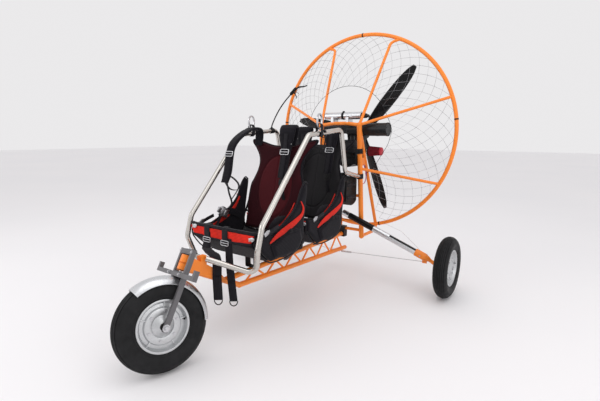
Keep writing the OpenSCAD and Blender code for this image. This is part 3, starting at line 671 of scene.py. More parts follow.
def wheel(tag, middle, axis, radius, width, body, ribs):
    bead = (box_of("rear_rim_left")[1].z - box_of("rear_rim_left")[0].z) / 2
    tyre = turned(tag + "_tread", tyre_profile(radius, width, bead, ribs), 120, middle, axis)
    give(tyre, rubber, body)
    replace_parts(tyre, tag + "_tyre" if tag == "front" else "rear_tyre_" + tag[5:])
    edge = width * 0.36
    face = [(0.0085, edge + 0.003), (0.020, edge + 0.003), (0.0235, edge + 0.001), (0.030, edge - 0.004),
            (0.044, edge - 0.013), (0.048, edge - 0.0145), (0.050, edge - 0.0105), (0.053, edge - 0.0095),
            (0.077, edge - 0.0095), (0.079, edge - 0.0105), (0.084, edge - 0.019), (0.098, edge - 0.021),
            (0.104, edge - 0.014), (0.1065, edge - 0.003), (0.1085, edge - 0.0005), (bead - 0.003, edge + 0.0006),
            (bead - 0.0006, edge - 0.0004), (bead - 0.0002, edge - 0.003)]
    profile = face + [(r, -h) for r, h in reversed(face)] + [face[0]]
    rim = turned(tag + "_wheel_casting", profile, 120, middle, axis)
    give(rim, spun, body)
    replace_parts(rim, tag + "_rim" if tag == "front" else "rear_rim_" + tag[5:])
    frame_turn = Matrix.Translation(Vector(middle)) @ turn_to(axis)
    parts = []
    for side in (1, -1):
        for k in range(6):
            a = 2 * math.pi * (k + 0.25) / 6
            spot = frame_turn @ Vector((0.065 * math.cos(a), 0.065 * math.sin(a), side * (edge - 0.0095)))
            parts.append(hex_bolt("bolt", spot, frame_turn.to_3x3() @ Vector((0, 0, side)), 0.010, 0.0045))
    bolts = join(tag + "_wheel_bolts", parts)
    give(bolts, zinc, body)
    webs = []
    for side in (1, -1):
        for k in range(5):
            a = 2 * math.pi * (k + 0.1) / 5
            bpy.ops.mesh.primitive_cube_add(size=1)
            web = bpy.context.object
            web.matrix_world = (Matrix.Rotation(a, 4, "Z")
                                @ Matrix.Translation((0.0925, 0, side * (edge - 0.018)))
                                @ Matrix.Diagonal((0.026, 0.006, 0.009, 1)))
            settle(web)
            bevelled(web, 0.0018)
            webs.append(web)
    ribs_piece = join(tag + "_wheel_webs", webs)
    ribs_piece.matrix_world = frame_turn
    settle(ribs_piece)
    smooth(ribs_piece)
    give(ribs_piece, spun, body)
    valve = disc(tag + "_valve", frame_turn @ Vector((0.099, 0.006, edge - 0.016)),
                 frame_turn.to_3x3() @ Vector((-0.25, 0, 1)), 0.0036, 0.022, 14, 0.0008)
    give(valve, grip_rubber, body)


clear()
wheel("front", fork_hub, front_axle_line, 0.208, 0.092, "front_wheel", front_ribs)
for tag, body in (("rear_left", "rear_wheel_left"), ("rear_right", "rear_wheel_right")):
    hub = centre_of("rear_rim_" + tag[5:])
    wheel(tag, hub, (0, 1, 0), 0.200, 0.090, body, rear_ribs)
    out = 1 if hub.y > 0 else -1
    cap = disc(tag + "_hub_nut", hub + Vector((0, out * 0.0385, 0)), (0, out, 0), 0.0125, 0.008, 6, 0.001)
    give(cap, zinc, "chassis")

# ---------- fork details ----------

fork_up = Vector(next(j for j in frame["joints"] if j["name"] == "steering")["axis"]).normalized()
fork_left = front_axle_line
fork_forward = fork_left.cross(fork_up)


def on_fork(forward, left, up):
    return fork_hub + forward * fork_forward + left * fork_left + up * fork_up


fork_turn = Matrix((
    (fork_forward.x, fork_left.x, fork_up.x), (fork_forward.y, fork_left.y, fork_up.y),
    (fork_forward.z, fork_left.z, fork_up.z))).to_4x4()


def fork_details():
    for side, tag in ((1, "left"), (-1, "right")):
        spot = on_fork(0, side * 0.0690, 0)
        nut = hex_bolt("fork_axle_nut_" + tag, spot, fork_left * side, 0.0195, 0.011)
        give(nut, zinc, "fork")
        collar = disc("hub_spacer_" + tag, on_fork(0, side * 0.043, 0), fork_left, 0.0175, 0.013, 32, 0.0015)
        give(collar, grip_rubber, "fork")
        cap = block("fork_leg_cap_" + tag, on_fork(0, side * 0.0605, 0.3505), (0.0215, 0.0165, 0.0016), 0.0004,
                    fork_turn)
        give(cap, black_plastic, "fork")
    grips = []
    for side in (1, -1):
        for k in range(9):
            for lean in (1, -1):
                bar = block("grip", on_fork(0.0213, side * (0.085 + 0.014 * k), 0.2376),
                            (0.0165, 0.0016, 0.0009), 0.0003,
                            fork_turn @ Matrix.Rotation(lean * math.radians(45), 4, "Z"))
                grips.append(bar)
    give(join("foot_bar_grip_bars", grips), grey, "fork")
    bolts = []
    for left in (-0.062, 0.062):
        bolts.append(hex_bolt("bolt", on_fork(0.0313, left, 0.2273), fork_forward, 0.010, 0.005))
        bolts.append(hex_bolt("bolt", on_fork(0.0110, left, 0.337), fork_forward, 0.009, 0.004))
    give(join("foot_bar_bolts", bolts), zinc, "fork")
    for up, tag in ((0.2500, "low"), (0.3235, "high")):
        ring = disc("steering_bearing_" + tag, on_fork(0, 0, up), fork_up, 0.026, 0.0028, 48, 0.0006)
        give(ring, black_plastic, "fork")


clear()
fork_details()

# ---------- seats ----------

lip_x = 1.494
seat_pitch = 0.428
wing_line = [(-0.004, 0.568), (-0.003, 0.508), (-0.111, 0.411), (-0.333, 0.419), (-0.393, 0.473), (-0.397, 0.560),
             (-0.438, 0.767), (-0.414, 0.783), (-0.378, 0.746), (-0.338, 0.670), (-0.268, 0.614), (-0.130, 0.549)]
floor_line = [(-0.005, 0.570), (-0.003, 0.508), (-0.112, 0.411), (-0.333, 0.419), (-0.392, 0.472),
              (-0.390, 0.476),
              (-0.064, 0.476), (-0.030, 0.568)]
pouch_line = [(-0.094, 0.498), (-0.122, 0.428), (-0.205, 0.412), (-0.320, 0.420), (-0.366, 0.476),
              (-0.356, 0.545),
              (-0.262, 0.566), (-0.170, 0.530)]
half_back = [(0.188, 0.006), (0.197, 0.170), (0.194, 0.262), (0.180, 0.297), (0.159, 0.350), (0.152, 0.400),
             (0.164, 0.447), (0.198, 0.494), (0.230, 0.526), (0.228, 0.543), (0.150, 0.527), (0.060, 0.506)]
back_foot = at(1.134, 0, 0.4891)
back_up = Vector((-math.sin(math.radians(15)), 0, math.cos(math.radians(15))))
back_out = Vector((math.cos(math.radians(15)), 0, math.sin(math.radians(15))))
rear_shift = Vector((-seat_pitch, 0, 0))
patch_half_width, patch_half_height, patch_z = 0.118, 0.175, 0.745
sew_width = 0.0045
cloth_frames = 20
most_drawn_in = 0.0025


def back_place(across, up, out=0.0):
    return back_foot + back_up * up + back_out * out + Vector((0, across, 0))


def prism(name, outline, place, low, high):
    """Closed plate with this outline, between two depths."""
    count = len(outline)
    verts = [tuple(place(u, v, w)) for w in (low, high) for u, v in outline]
    faces = [tuple(range(count)), tuple(range(2 * count - 1, count - 1, -1))]
    faces += [(i, (i + 1) % count, (i + 1) % count + count, i + count) for i in range(count)]
    piece = from_points(name, verts, faces=faces)
    outward(piece)
    return piece


def stuffed(piece, voxel, cap, out, pressure=4.0):
    """Remeshes a sewn form and blows it up as cloth; a point moves at most cap, and less sideways than along out."""
    out = Vector(out).normalized()
    only(piece)
    piece.data.remesh_voxel_size = voxel
    bpy.ops.object.voxel_remesh()
    start = [v.co.copy() for v in piece.data.vertices]
    fabric = piece.modifiers.new("fabric", "CLOTH")
    fabric.settings.use_pressure = True
    fabric.settings.uniform_pressure_force = pressure
    fabric.settings.effector_weights.gravity = 0
    fabric.settings.quality = 4
    for k in range(1, cloth_frames + 1):
        bpy.context.scene.frame_set(k)
    apply_all(piece)
    bpy.context.scene.frame_set(1)
    for v, old in zip(piece.data.vertices, start):
        moved = v.co - old
        swell = out * moved.dot(out)
        drawn = moved - swell
        if drawn.length > most_drawn_in:
            drawn *= most_drawn_in / drawn.length
        moved = swell + drawn
        v.co = old + moved * min(1, cap / max(moved.length, 1e-6))
    softer = piece.modifiers.new("softer", "SMOOTH")
    softer.iterations = 3
    finer = piece.modifiers.new("finer", "SUBSURF")
    finer.levels = 1
    apply_all(piece)
    smooth(piece, 70)
    return piece


def sewn_line(piece, distance, depth, width, direction, near=None):
    """Draws the skin in along a sewn line."""
    for v in piece.data.vertices:
        if near and not near(v.co):
            continue
        gap = distance(v.co) / width
        if abs(gap) < 3:
            v.co -= Vector(direction) * depth * math.exp(-gap * gap)


def webbed(*how):
    return give(swept_band(*how), strap_black)


def copy_piece(piece, name, shift):
    clear()
    double = piece.copy()
    double.data = piece.data.copy()
    bpy.context.collection.objects.link(double)
    double.location = shift
    if "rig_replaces" in double:
        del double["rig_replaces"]
    settle(double)
    return name_it(double, name)


def side_place(y):
    return lambda u, v, w: at(lip_x + u, y + w, v)


def arc_line(points, steps=5):
    return [tuple(p)[:2] for p in eased([(u, v, 0) for u, v in points], steps)]


def patch_cloth():
    """Quilted dark red cloth with a lighter sewn panel in its middle."""
    f = Finish("maroon_quilted_cloth", (0.05, 0.005, 0.009), 0.85, Sheen_Weight=0.08, Sheen_Roughness=0.4,
               Specular_IOR_Level=0.12)
    place = f.nodes.new("ShaderNodeTexCoord")
    split = f.nodes.new("ShaderNodeSeparateXYZ")
    f.links.new(place.outputs["Object"], split.inputs[0])
    along = f.maths("DIVIDE", split.outputs[1], patch_half_width)
    up = f.maths("DIVIDE", f.maths("SUBTRACT", split.outputs[2], patch_z), patch_half_height)
    far = f.maths("SQRT", f.add(f.times(along, along), f.times(up, up)), 0)
    inside = f.spread(far, 1, 0, 0.97, 1.03)
    weave = f.times(f.waves("Y", 46, 0.5), f.waves("Z", 46, 0.5))
    fade = f.noise(6, 6)
    tone = f.add(f.times(inside, 0.55), f.add(f.times(weave, 0.2), f.times(fade, 0.45)))
    f.tint(f.spread(tone, 0, 1, 0.2, 1.1), (0.024, 0.0025, 0.005), (0.088, 0.010, 0.014))
    f.rough(fade, 0.78, 0.93)
    f.bump(f.add(weave, f.times(fade, 2.2)), 0.4, 0.0014)
    return f.material


def black_quilted_cloth():
    f = Finish("black_quilted_cloth", (0.010, 0.008, 0.010), 0.88)
    weave = f.times(f.waves("Y", 46, 0.5), f.waves("Z", 46, 0.5))
    fade = f.noise(6, 6)
    f.tint(f.spread(fade, 0, 1), (0.0035, 0.003, 0.0045), (0.0095, 0.0075, 0.0100))
    f.rough(fade, 0.8, 0.95)
    f.bump(f.add(weave, fade), 0.4, 0.0014)
    return f.material


def seat_back():
    outline = half_back + [(-u, v) for u, v in reversed(half_back)]
    back = prism("front_seat_cushion", outline, back_place, -0.028, -0.006)
    stuffed(back, 0.007, 0.010, back_out)
    front = lambda co: (co - back_foot).dot(back_out) > -0.014
    sewn_line(back, lambda co: co.y, 0.0045, sew_width, back_out, front)

    def oval(co):
        up = (co - back_foot).dot(back_up)
        return (math.hypot(co.y / patch_half_width, (up - 0.262) / 0.180) - 1) * 0.14

    sewn_line(back, oval, 0.004, sew_width, back_out, front)
    for side in (1, -1):
        sewn_line(back, lambda co: (co - back_foot).dot(back_up) - 0.47 - 0.25 * abs(co.y), 0.003, 0.004,
                  back_out,
                  lambda co: front(co) and co.y * side > 0.02)
    give(back, patch_cloth())
    rim = [back_place(u * 1.004, v, -0.0165) for u, v in arc_line(outline + [outline[0]], 4)]
    binding = wire("front_seat_back_binding", rim[:-1], 0.0062, True, 2)
    give(binding, cordura)
    return back, binding


def seat_shell():
    """Side wings, floor and side pockets, each sewn and stuffed on its own, with bindings along the wings."""
    made = []
    for side, tag in ((1, "left"), (-1, "right")):
        wing = prism("front_seat_wing_" + tag, wing_line, side_place(side * 0.219), -0.0085, 0.0085)
        stuffed(wing, 0.008, 0.0055, (0, 1, 0))
        give(wing, cordura)
        made.append(wing)
        pouch = prism("front_seat_pocket_" + tag, pouch_line, side_place(side * 0.2315), -0.004, 0.008)
        if side < 0:
            pouch.data.flip_normals()
        stuffed(pouch, 0.007, 0.009, (0, 1, 0), 5.0)
        sewn_line(pouch, lambda co: co.z - 0.535, 0.003, 0.004, (0, side, 0))
        give(pouch, cordura)
        made.append(pouch)
        for name, rim, radius in (("top", wing_line[6:] + [wing_line[0]], 0.0042),
                                  ("low", wing_line[0:6], 0.0036)):
            route = [at(lip_x + u, side * 0.2205, v + (0.004 if name == "top" else -0.003))
                     for u, v in arc_line(rim, 4)]
            edge = wire(f"front_seat_{name}_binding_{tag}", route, radius, sides=2)
            give(edge, strap_black)
            made.append(edge)
    floor_pad = prism("front_seat_floor", floor_line, side_place(0.0), -0.2045, 0.2045)
    stuffed(floor_pad, 0.009, 0.0045, (0.35, 0, 1))
    give(floor_pad, cordura)
    made.append(floor_pad)
    return made


front_back, front_binding = seat_back()
shell = seat_shell()
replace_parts(front_back, "front_seat_back")
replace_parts(shell[-1], "front_seat_tub")
rear_pieces = [copy_piece(piece, piece.name.replace("front_", "rear_"), rear_shift)
               for piece in [front_back, front_binding] + shell]
for piece in rear_pieces:
    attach(piece, "chassis")
rear_back = rear_pieces[0]
give(rear_back, black_quilted_cloth())
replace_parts(rear_back, "rear_seat_back")
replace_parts(next(p for p in rear_pieces if p.name == "rear_seat_floor"), "rear_seat_tub")


def seat_trim(seat, shift):
    """Red flashes on the wings, the red front panel and its binding."""
    for side, tag in ((1, "left"), (-1, "right")):
        y = side * (0.2375 if side > 0 else 0.2365)
        route = eased([at(1.402, y, 0.514), at(1.340, y, 0.541), at(1.255, y, 0.565), at(1.180, y, 0.590),
                       at(1.130, y, 0.616), at(1.118, y, 0.650), at(1.140, y, 0.688)], 6)
        band = swept_band(f"{seat}_seat_red_trim_{tag}", [p + shift for p in route], (0, 1, 0), 0.003,
                          lambda t: 0.006 + 0.030 * math.sin(math.pi * min(1, t * 1.05) ** 0.9) ** 0.8, 0.3)
        give(band, red_cloth)
        inner = eased([at(1.400, side * 0.2025, 0.545), at(1.330, side * 0.2025, 0.563),
                       at(1.250, side * 0.2025, 0.595),
                       at(1.190, side * 0.2025, 0.638), at(1.150, side * 0.2025, 0.690)], 6)
        lining = swept_band(f"{seat}_seat_inner_trim_{tag}", [p + shift + Vector((0, 0, -0.012)) for p in inner],
                            (0, 1, 0), 0.003, lambda t: 0.008 + 0.018 * math.sin(math.pi * t), 0.3)
        give(lining, red_cloth)
    panel_line = [(-0.226, 0.565), (-0.205, 0.526), (-0.10, 0.519), (0.0, 0.516), (0.10, 0.519), (0.196, 0.526),
                  (0.218, 0.565)]
    panel = prism(f"{seat}_seat_front_panel", panel_line, lambda u, v, w: at(lip_x + w, u, v) + shift, -0.001,
                  0.0062)
    only(panel)
    panel.data.remesh_voxel_size = 0.005
    bpy.ops.object.voxel_remesh()
    for v in panel.data.vertices:
        wave = 0.0012 * math.sin(v.co.y * 55) + 0.0009 * math.sin(v.co.y * 90 + v.co.z * 60)
        v.co.x += wave - 0.0006
    smooth(panel, 60)
    give(panel, red_cloth)
    lip = eased([at(lip_x - 0.012, -0.231, 0.577), at(lip_x + 0.002, -0.20, 0.578), at(lip_x + 0.004, 0, 0.578),
                 at(lip_x + 0.002, 0.20, 0.578), at(lip_x - 0.012, 0.231, 0.577)], 8)
    webbed(f"{seat}_seat_lip_binding", [p + shift + Vector((-0.004, 0, -0.002)) for p in lip], (1, 0, 0.1),
           0.017, 0.012, 0.2)
    foot = eased([at(lip_x + 0.006, -0.212, 0.522), at(lip_x + 0.008, -0.10, 0.5155), at(lip_x + 0.008, 0, 0.512),
                  at(lip_x + 0.008, 0.10, 0.5155), at(lip_x + 0.006, 0.204, 0.522)], 8)
    webbed(f"{seat}_seat_panel_hem", [p + shift for p in foot], (0, 0, 1), 0.011, 0.004, 0.3)


def frame_buckle(name, middle, along, out, width, height, bar, material):
    """Pressed wire buckle: a rectangle with rounded corners and a middle bar, with its long side on along."""
    long_side = Vector(along).normalized()
    outward = Vector(out).normalized()
    short = outward.cross(long_side).normalized()
    corner = min(width, height) * 0.22
    points = []
    for sx, sy in ((1, 1), (-1, 1), (-1, -1), (1, -1)):
        for k in range(4):
            a = math.radians({(1, 1): 0, (-1, 1): 90, (-1, -1): 180, (1, -1): 270}[(sx, sy)] + 30 * k)
            points.append(Vector(middle) + long_side * (sx * (width / 2 - corner) + corner * math.cos(a))
                          + short * (sy * (height / 2 - corner) + corner * math.sin(a)))
    ring = wire(name + "_ring", points, bar, True, 2)
    cross = wire(name + "_bar", [Vector(middle) - long_side * (width / 2 - bar),
                                 Vector(middle) + long_side * (width / 2 - bar)],
                 bar * 0.9, sides=2)
    piece = join(name, [ring, cross])
    give(piece, material)
    return piece


def clip_buckle(name, middle, along, out, size, material):
    """Side-release style buckle made of a body, a tongue and two ears, without a mark."""
    long_side = Vector(along).normalized()
    outward = Vector(out).normalized()
    short = outward.cross(long_side).normalized()
    turn = Matrix((
        (long_side.x, short.x, outward.x), (long_side.y, short.y, outward.y),
        (long_side.z, short.z, outward.z))).to_4x4()
    w, h, t = size
    parts = [block("body", middle, (w, h, t), t * 0.25, turn),
             block("tongue", Vector(middle) + long_side * w * 0.55, (w * 0.4, h * 0.62, t * 0.6), t * 0.15, turn),
             block("rib", Vector(middle) + outward * t * 0.5 - long_side * w * 0.2, (w * 0.3, h * 0.7, t * 0.35),
                   t * 0.1, turn)]
    for side in (1, -1):
        parts.append(block("ear", Vector(middle) + short * side * h * 0.52 + long_side * w * 0.22,
                           (w * 0.42, h * 0.12, t * 0.8), t * 0.15, turn))
    piece = join(name, parts)
    give(piece, material)
    return piece


def seat_hardware(seat, shift):
    loops = ((-0.100, "right"), (0.030, "left")) if seat == "front" else ((-0.070, "right"), (0.070, "left"))
    for y, tag in loops:
        route = eased([at(lip_x - 0.070, y, 0.486), at(lip_x - 0.040, y, 0.510), at(lip_x - 0.030, y, 0.560),
                       at(lip_x - 0.012, y, 0.5845), at(lip_x + 0.007, y, 0.574), at(lip_x + 0.0105, y, 0.545),
                       at(lip_x + 0.0105, y, 0.512)], 5)
        webbed(f"{seat}_lip_loop_{tag}", [p + shift for p in route], (0, 1, 0), 0.040, 0.0026)
        frame_buckle(f"{seat}_lip_buckle_{tag}", at(lip_x + 0.0125, y, 0.505) + shift, (0, 1, 0), (1, 0, 0.1),
                     0.052, 0.024, 0.0022, zinc)
    for y, x, z, tag in ((0.205, 1.500, 0.548, "left"), (-0.196, 1.500, 0.563, "right")):
        clip_buckle(f"{seat}_corner_clip_{tag}", at(x + 0.003, y, z) + shift, (0.1, 1, 0.25), (1, 0, 0.2),
                    (0.028, 0.018, 0.006), zinc)
    for side, tag in ((1, "left"), (-1, "right")):
        clip_buckle(f"{seat}_wing_clip_{tag}", at(1.424, side * 0.2345, 0.566) + shift,
                    (-0.9, 0, 0.42), (0, side, 0), (0.034, 0.018, 0.006), zinc)
        tail = eased([at(1.430, side * 0.2335, 0.560), at(1.380, side * 0.2355, 0.575),
                      at(1.330, side * 0.2345, 0.588)], 4)
        webbed(f"{seat}_wing_strap_{tag}", [p + shift for p in tail], (0, 0, 1), 0.020, 0.0022)
        y = side * 0.197
        route = eased([at(1.150, y, 0.560), at(1.200, y, 0.590), at(1.262, y, 0.605), at(1.315, y * 0.97, 0.592),
                       at(1.352, y * 0.93, 0.545), at(1.372, y * 0.90, 0.498)], 5)
        webbed(f"{seat}_lap_strap_{tag}", [p + shift for p in route], (0, 0.15, 1), 0.040, 0.0026)
    spot = at(1.300, -0.186, 0.606) + shift
    clip_buckle(f"{seat}_lap_buckle", spot, (0.80, -0.1, 0.5), (0.25, 1, 0.05), (0.062, 0.050, 0.010), zinc)
    spot = at(1.292, 0.190, 0.604) + shift
    clip_buckle(f"{seat}_lap_tongue", spot, (0.92, -0.1, -0.3), (0.15, -1, 0.2), (0.045, 0.030, 0.006),
                black_plastic)


clear()
for seat, shift in (("front", Vector((0, 0, 0))), ("rear", rear_shift)):
    seat_trim(seat, shift)
    seat_hardware(seat, shift)

# ---------- harness ----------

strap_top = at(1.0117, 0, 0.9737)


def padded_thick(t):
    """Thick pad with two sewn waists along its length."""
    waist = 1 - 0.35 * math.exp(-((t - 0.34) / 0.016) ** 2) - 0.35 * math.exp(-((t - 0.66) / 0.016) ** 2)
    return max(0.004, 0.0165 * waist * min(1, 10 * t + 0.25, 10 * (1 - t) + 0.25))


def folded_strap(name, y, shift):
    route = [strap_top + Vector((0.002, y, 0.004)), strap_top + Vector((-0.0119, y, 0.0444)), at(1.000, y, 1.078),
             at(1.040, y, 1.076), at(1.060, y, 0.950), at(1.098, y, 0.800)]
    route = [p + shift for p in eased(route, 9)]
    pad = swept_band(name, route, (0, 1, 0), lambda t: 0.060 + 0.052 * math.exp(-((t - 0.36) / 0.20) ** 2),
                     padded_thick, 0.35, 20)
    give(pad, cordura)
    tag = swept_band(name + "_webbing", [p + Vector((0.011, 0, 0.0035)) for p in route[30:]], (0, 1, 0), 0.026,
                     0.0024)
    give(tag, strap_black)
    frame_buckle(name + "_buckle", at(1.0745, y, 0.945) + shift, (0, 1, 0), (0.95, 0, 0.28), 0.058, 0.030, 0.0026,
                 zinc)
    end = route[-1]
    tail = eased([end + Vector((-0.002, 0, 0.012)), end + Vector((0.006, 0.004, -0.030)),
                  end + Vector((0.002, 0.006, -0.085)),
                  end + Vector((-0.012, 0.004, -0.130))], 5)
    webbed(name + "_tail", tail, (0, 1, 0), 0.024, 0.0022)
    clip_buckle(name + "_slider", end + Vector((0.008, 0.002, -0.024)), (0.1, 0, -1), (1, 0, 0.1),
                (0.034, 0.034, 0.006), black_plastic)
    return pad


left_pad = folded_strap("front_shoulder_pad_left", 0.075, Vector((0, 0, 0)))
drape = eased([strap_top + Vector((0.002, -0.172, 0.004)), strap_top + Vector((-0.010, -0.172, 0.044)),
               at(1.010, -0.172, 1.070), at(1.100, -0.172, 1.066), at(1.232, -0.172, 0.982),
               at(1.274, -0.172, 0.835),
               at(1.300, -0.172, 0.775)], 9)
right_pad = swept_band("front_shoulder_pad_right", drape, (0, 1, 0), 0.058, padded_thick, 0.35, 20)
give(right_pad, cordura)
frame_buckle("front_shoulder_pad_right_buckle", at(1.262, -0.172, 0.934), (0, 1, 0), (0.93, 0, 0.35), 0.056,
             0.028, 0.0026, zinc)
for k, (a, b, c, d) in enumerate((
        ((1.296, -0.160, 0.785), (1.290, -0.150, 0.720), (1.262, -0.160, 0.655), (1.290, -0.176, 0.620)),
        ((1.290, -0.185, 0.790), (1.245, -0.190, 0.735), (1.180, -0.192, 0.722), (1.140, -0.194, 0.760)),
        ((1.286, -0.170, 0.800), (1.230, -0.186, 0.800), (1.165, -0.194, 0.740), (1.235, -0.192, 0.665)))):
    route = eased([at(*a), at(*b), at(*c), at(*d)], 6)
    webbed(f"front_right_loop_{k + 1}", route, (0.25, 0.9, 0.3), 0.018, 0.0022)
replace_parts(left_pad, "front_shoulder_straps")
rear_pads = [folded_strap("rear_shoulder_pad_" + tag, side * 0.110, rear_shift)
             for side, tag in ((1, "left"), (-1, "right"))]
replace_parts(rear_pads[0], "rear_shoulder_straps")
give(block("front_pad_blank_label", at(1.0565, 0.098, 1.010), (0.0012, 0.030, 0.046), 0.0004,
           Matrix.Rotation(math.radians(-9), 4, "Y")), label_white)


def leg_straps():
    routes = (
        ([(0.0036, -0.098, 0.546), (0.005, -0.098, 0.500), (0.018, -0.094, 0.466), (0.054, -0.030, 0.462),
          (0.070, 0.036, 0.440), (0.073, 0.040, 0.340), (0.070, 0.041, 0.234)], 0.046, "long"),
        ([(0.0036, 0.054, 0.530), (0.005, 0.056, 0.500), (0.011, 0.066, 0.400), (0.010, 0.076, 0.300),
          (0.008, 0.084, 0.216)], 0.040, "short"))
    for points, width, tag in routes:
        route = eased([at(lip_x + x + 0.004, y, z) for x, y, z in points], 8)
        facing = lambda t: Vector((-0.55 * min(1, 1.6 * t), 1 - 0.3 * t, 0))
        strap = swept_band("leg_strap_" + tag, route, facing, width, 0.003)
        give(strap, strap_black)
        fold = [p + Vector((0.0032, 0.0032, 0)) for p in route[-10:]]
        webbed(f"leg_strap_{tag}_fold", fold, facing(1), width * 0.94, 0.0024)
        low = route[-1]
        across = facing(1).normalized()
        ring = [low + across * (0.020 * math.cos(a)) + Vector((0, 0, -0.002 + 0.026 * math.sin(a)))
                for a in (math.radians(180 + 20 * k) for k in range(10))]
        give(wire(f"leg_strap_{tag}_ring", ring, 0.0028, True, 2), black_plastic)
        if tag == "long":
            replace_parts(strap, "leg_straps")


clear()
leg_straps()


def lashings():
    """Straps round the keel's upper tube, in the space of the CAD lashings."""
    high = box_of("seat_lashings")[1].z
    for x, tag in ((1.274, "front"), (0.846, "rear")):
        y, base = 0.0295, high - 0.090
        route = eased([at(x, 0, base), at(x, y * 0.85, base + 0.001), at(x, y, base + 0.012),
                       at(x, y, high - 0.014),
                       at(x, y * 0.85, high - 0.003), at(x, 0, high - 0.002), at(x, -y * 0.85, high - 0.003),
                       at(x, -y, high - 0.014), at(x, -y, base + 0.012), at(x, -y * 0.85, base + 0.001),
                       at(x, -0.001, base)], 4)
        loop = webbed("seat_lashing_" + tag, route, (1, 0, 0), 0.044, 0.003)
        if tag == "front":
            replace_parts(loop, "seat_lashings")
    for k, (start, end) in enumerate((((1.134, 0.225, 0.455), (1.030, 0.045, 0.300)),
                                      ((1.010, 0.226, 0.520), (0.940, 0.050, 0.330)),
                                      ((0.800, 0.222, 0.470), (0.700, 0.040, 0.320)))):
        route = eased([at(*start), at((start[0] + end[0]) / 2, (start[1] + end[1]) / 2 + 0.004,
                                      (start[2] + end[2]) / 2 - 0.006), at(*end)], 6)
        webbed(f"keel_webbing_{k + 1}", route, (1, 0, 0.4), 0.026, 0.0024)


def hanging_loops():
    low, high = box_of("hang_loops")
    x = (low.x + high.x) / 2
    for side, tag in ((1, "left"), (-1, "right")):
        y = side * 0.250
        route = []
        for k in range(33):
            a = 2 * math.pi * k / 32
            tall = (high.z - low.z) / 2 - 0.019
            route.append(Vector((x, y + 0.0172 * math.cos(a),
                                 (low.z + high.z) / 2 + 0.0172 * math.sin(a)
                                 + (tall if math.sin(a) > 0 else -tall))))
        loop = swept_band("hang_loop_" + tag, route, (1, 0, 0), 0.026, 0.0032)
        give(loop, strap_black)
        if side > 0:
            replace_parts(loop, "hang_loops")


clear()
lashings()
hanging_loops()

# ---------- engine and frame details ----------

crank_z = ring_middle.z - 0.175


def post_place(z, side=1, y=0.155):
    return at(0.258 + 0.1006 * (z - 0.446), side * y, z)


def engine_details():
    fins = [block("fin", at(0.169, 0, crank_z + 0.044 + 0.0125 * k), (0.188, 0.162, 0.0032), 0.0008)
            for k in range(7)]
    give(join("engine_cooling_fins", fins), dark_metal)
    cover = [disc("cover", at(0.2265, 0, crank_z), (1, 0, 0), 0.070, 0.006, 64, 0.002),
             disc("ring", at(0.2300, 0, crank_z), (1, 0, 0), 0.048, 0.005, 48, 0.0015)]
    cover += bolt_ring(at(0.2293, 0, crank_z), (1, 0, 0), 0.061, 8, math.pi / 8, 0.008, 0.004)
    give(join("engine_starter_cover", cover), black_coat)
    plug = turned("engine_plug_cap", [(0, 0.052), (0.006, 0.051), (0.008, 0.047), (0.008, 0.030), (0.0105, 0.029),
                                      (0.0105, 0.012), (0.013, 0.010), (0.013, 0)], 24,
                  at(0.120, -0.030, crank_z + 0.121), (0.1, -0.25, 1))
    give(plug, grip_rubber)
    lead = eased([at(0.125, -0.042, crank_z + 0.170), at(0.150, -0.060, crank_z + 0.196),
                  at(0.200, -0.085, crank_z + 0.170),
                  at(0.215, -0.092, crank_z + 0.090), at(0.205, -0.080, crank_z + 0.030)], 6)
    give(wire("engine_plug_lead", lead, 0.0032, sides=2), black_plastic)


def drive_details():
    parts = []
    for z, radius in ((ring_middle.z, 0.0615), (crank_z + 0.012, 0.034)):
        profile = [(0.012, 0.0005), (radius * 0.45, 0.0005), (radius * 0.5, -0.004), (radius * 0.84, -0.004),
                   (radius * 0.88, 0.0008), (radius * 0.97, 0.0008), (radius, -0.001), (radius, -0.003)]
        parts.append(turned("pulley", profile, 64, at(0.0255, 0, z), (-1, 0, 0)))
    give(join("reduction_pulley_faces", parts), cast_metal("machined_pulley", (0.30, 0.30, 0.31), 0.35, 0.9))
    bolts = bolt_ring(at(0.0255, 0, ring_middle.z), (-1, 0, 0), 0.039, 6, 0, 0.008, 0.004)
    give(join("reduction_pulley_bolts", bolts), zinc)
    hub_low, hub_high = box_of("prop_hub")
    hub = (hub_low + hub_high) / 2
    for x, out, tag in ((hub_low.x, -1, "rear"), (hub_high.x, 1, "front")):
        plate = bolt_ring((x, hub.y, hub.z), (out, 0, 0), 0.034, 6, math.pi / 6, 0.010, 0.004)
        give(join("prop_hub_bolts_" + tag, plate), zinc, "propeller")


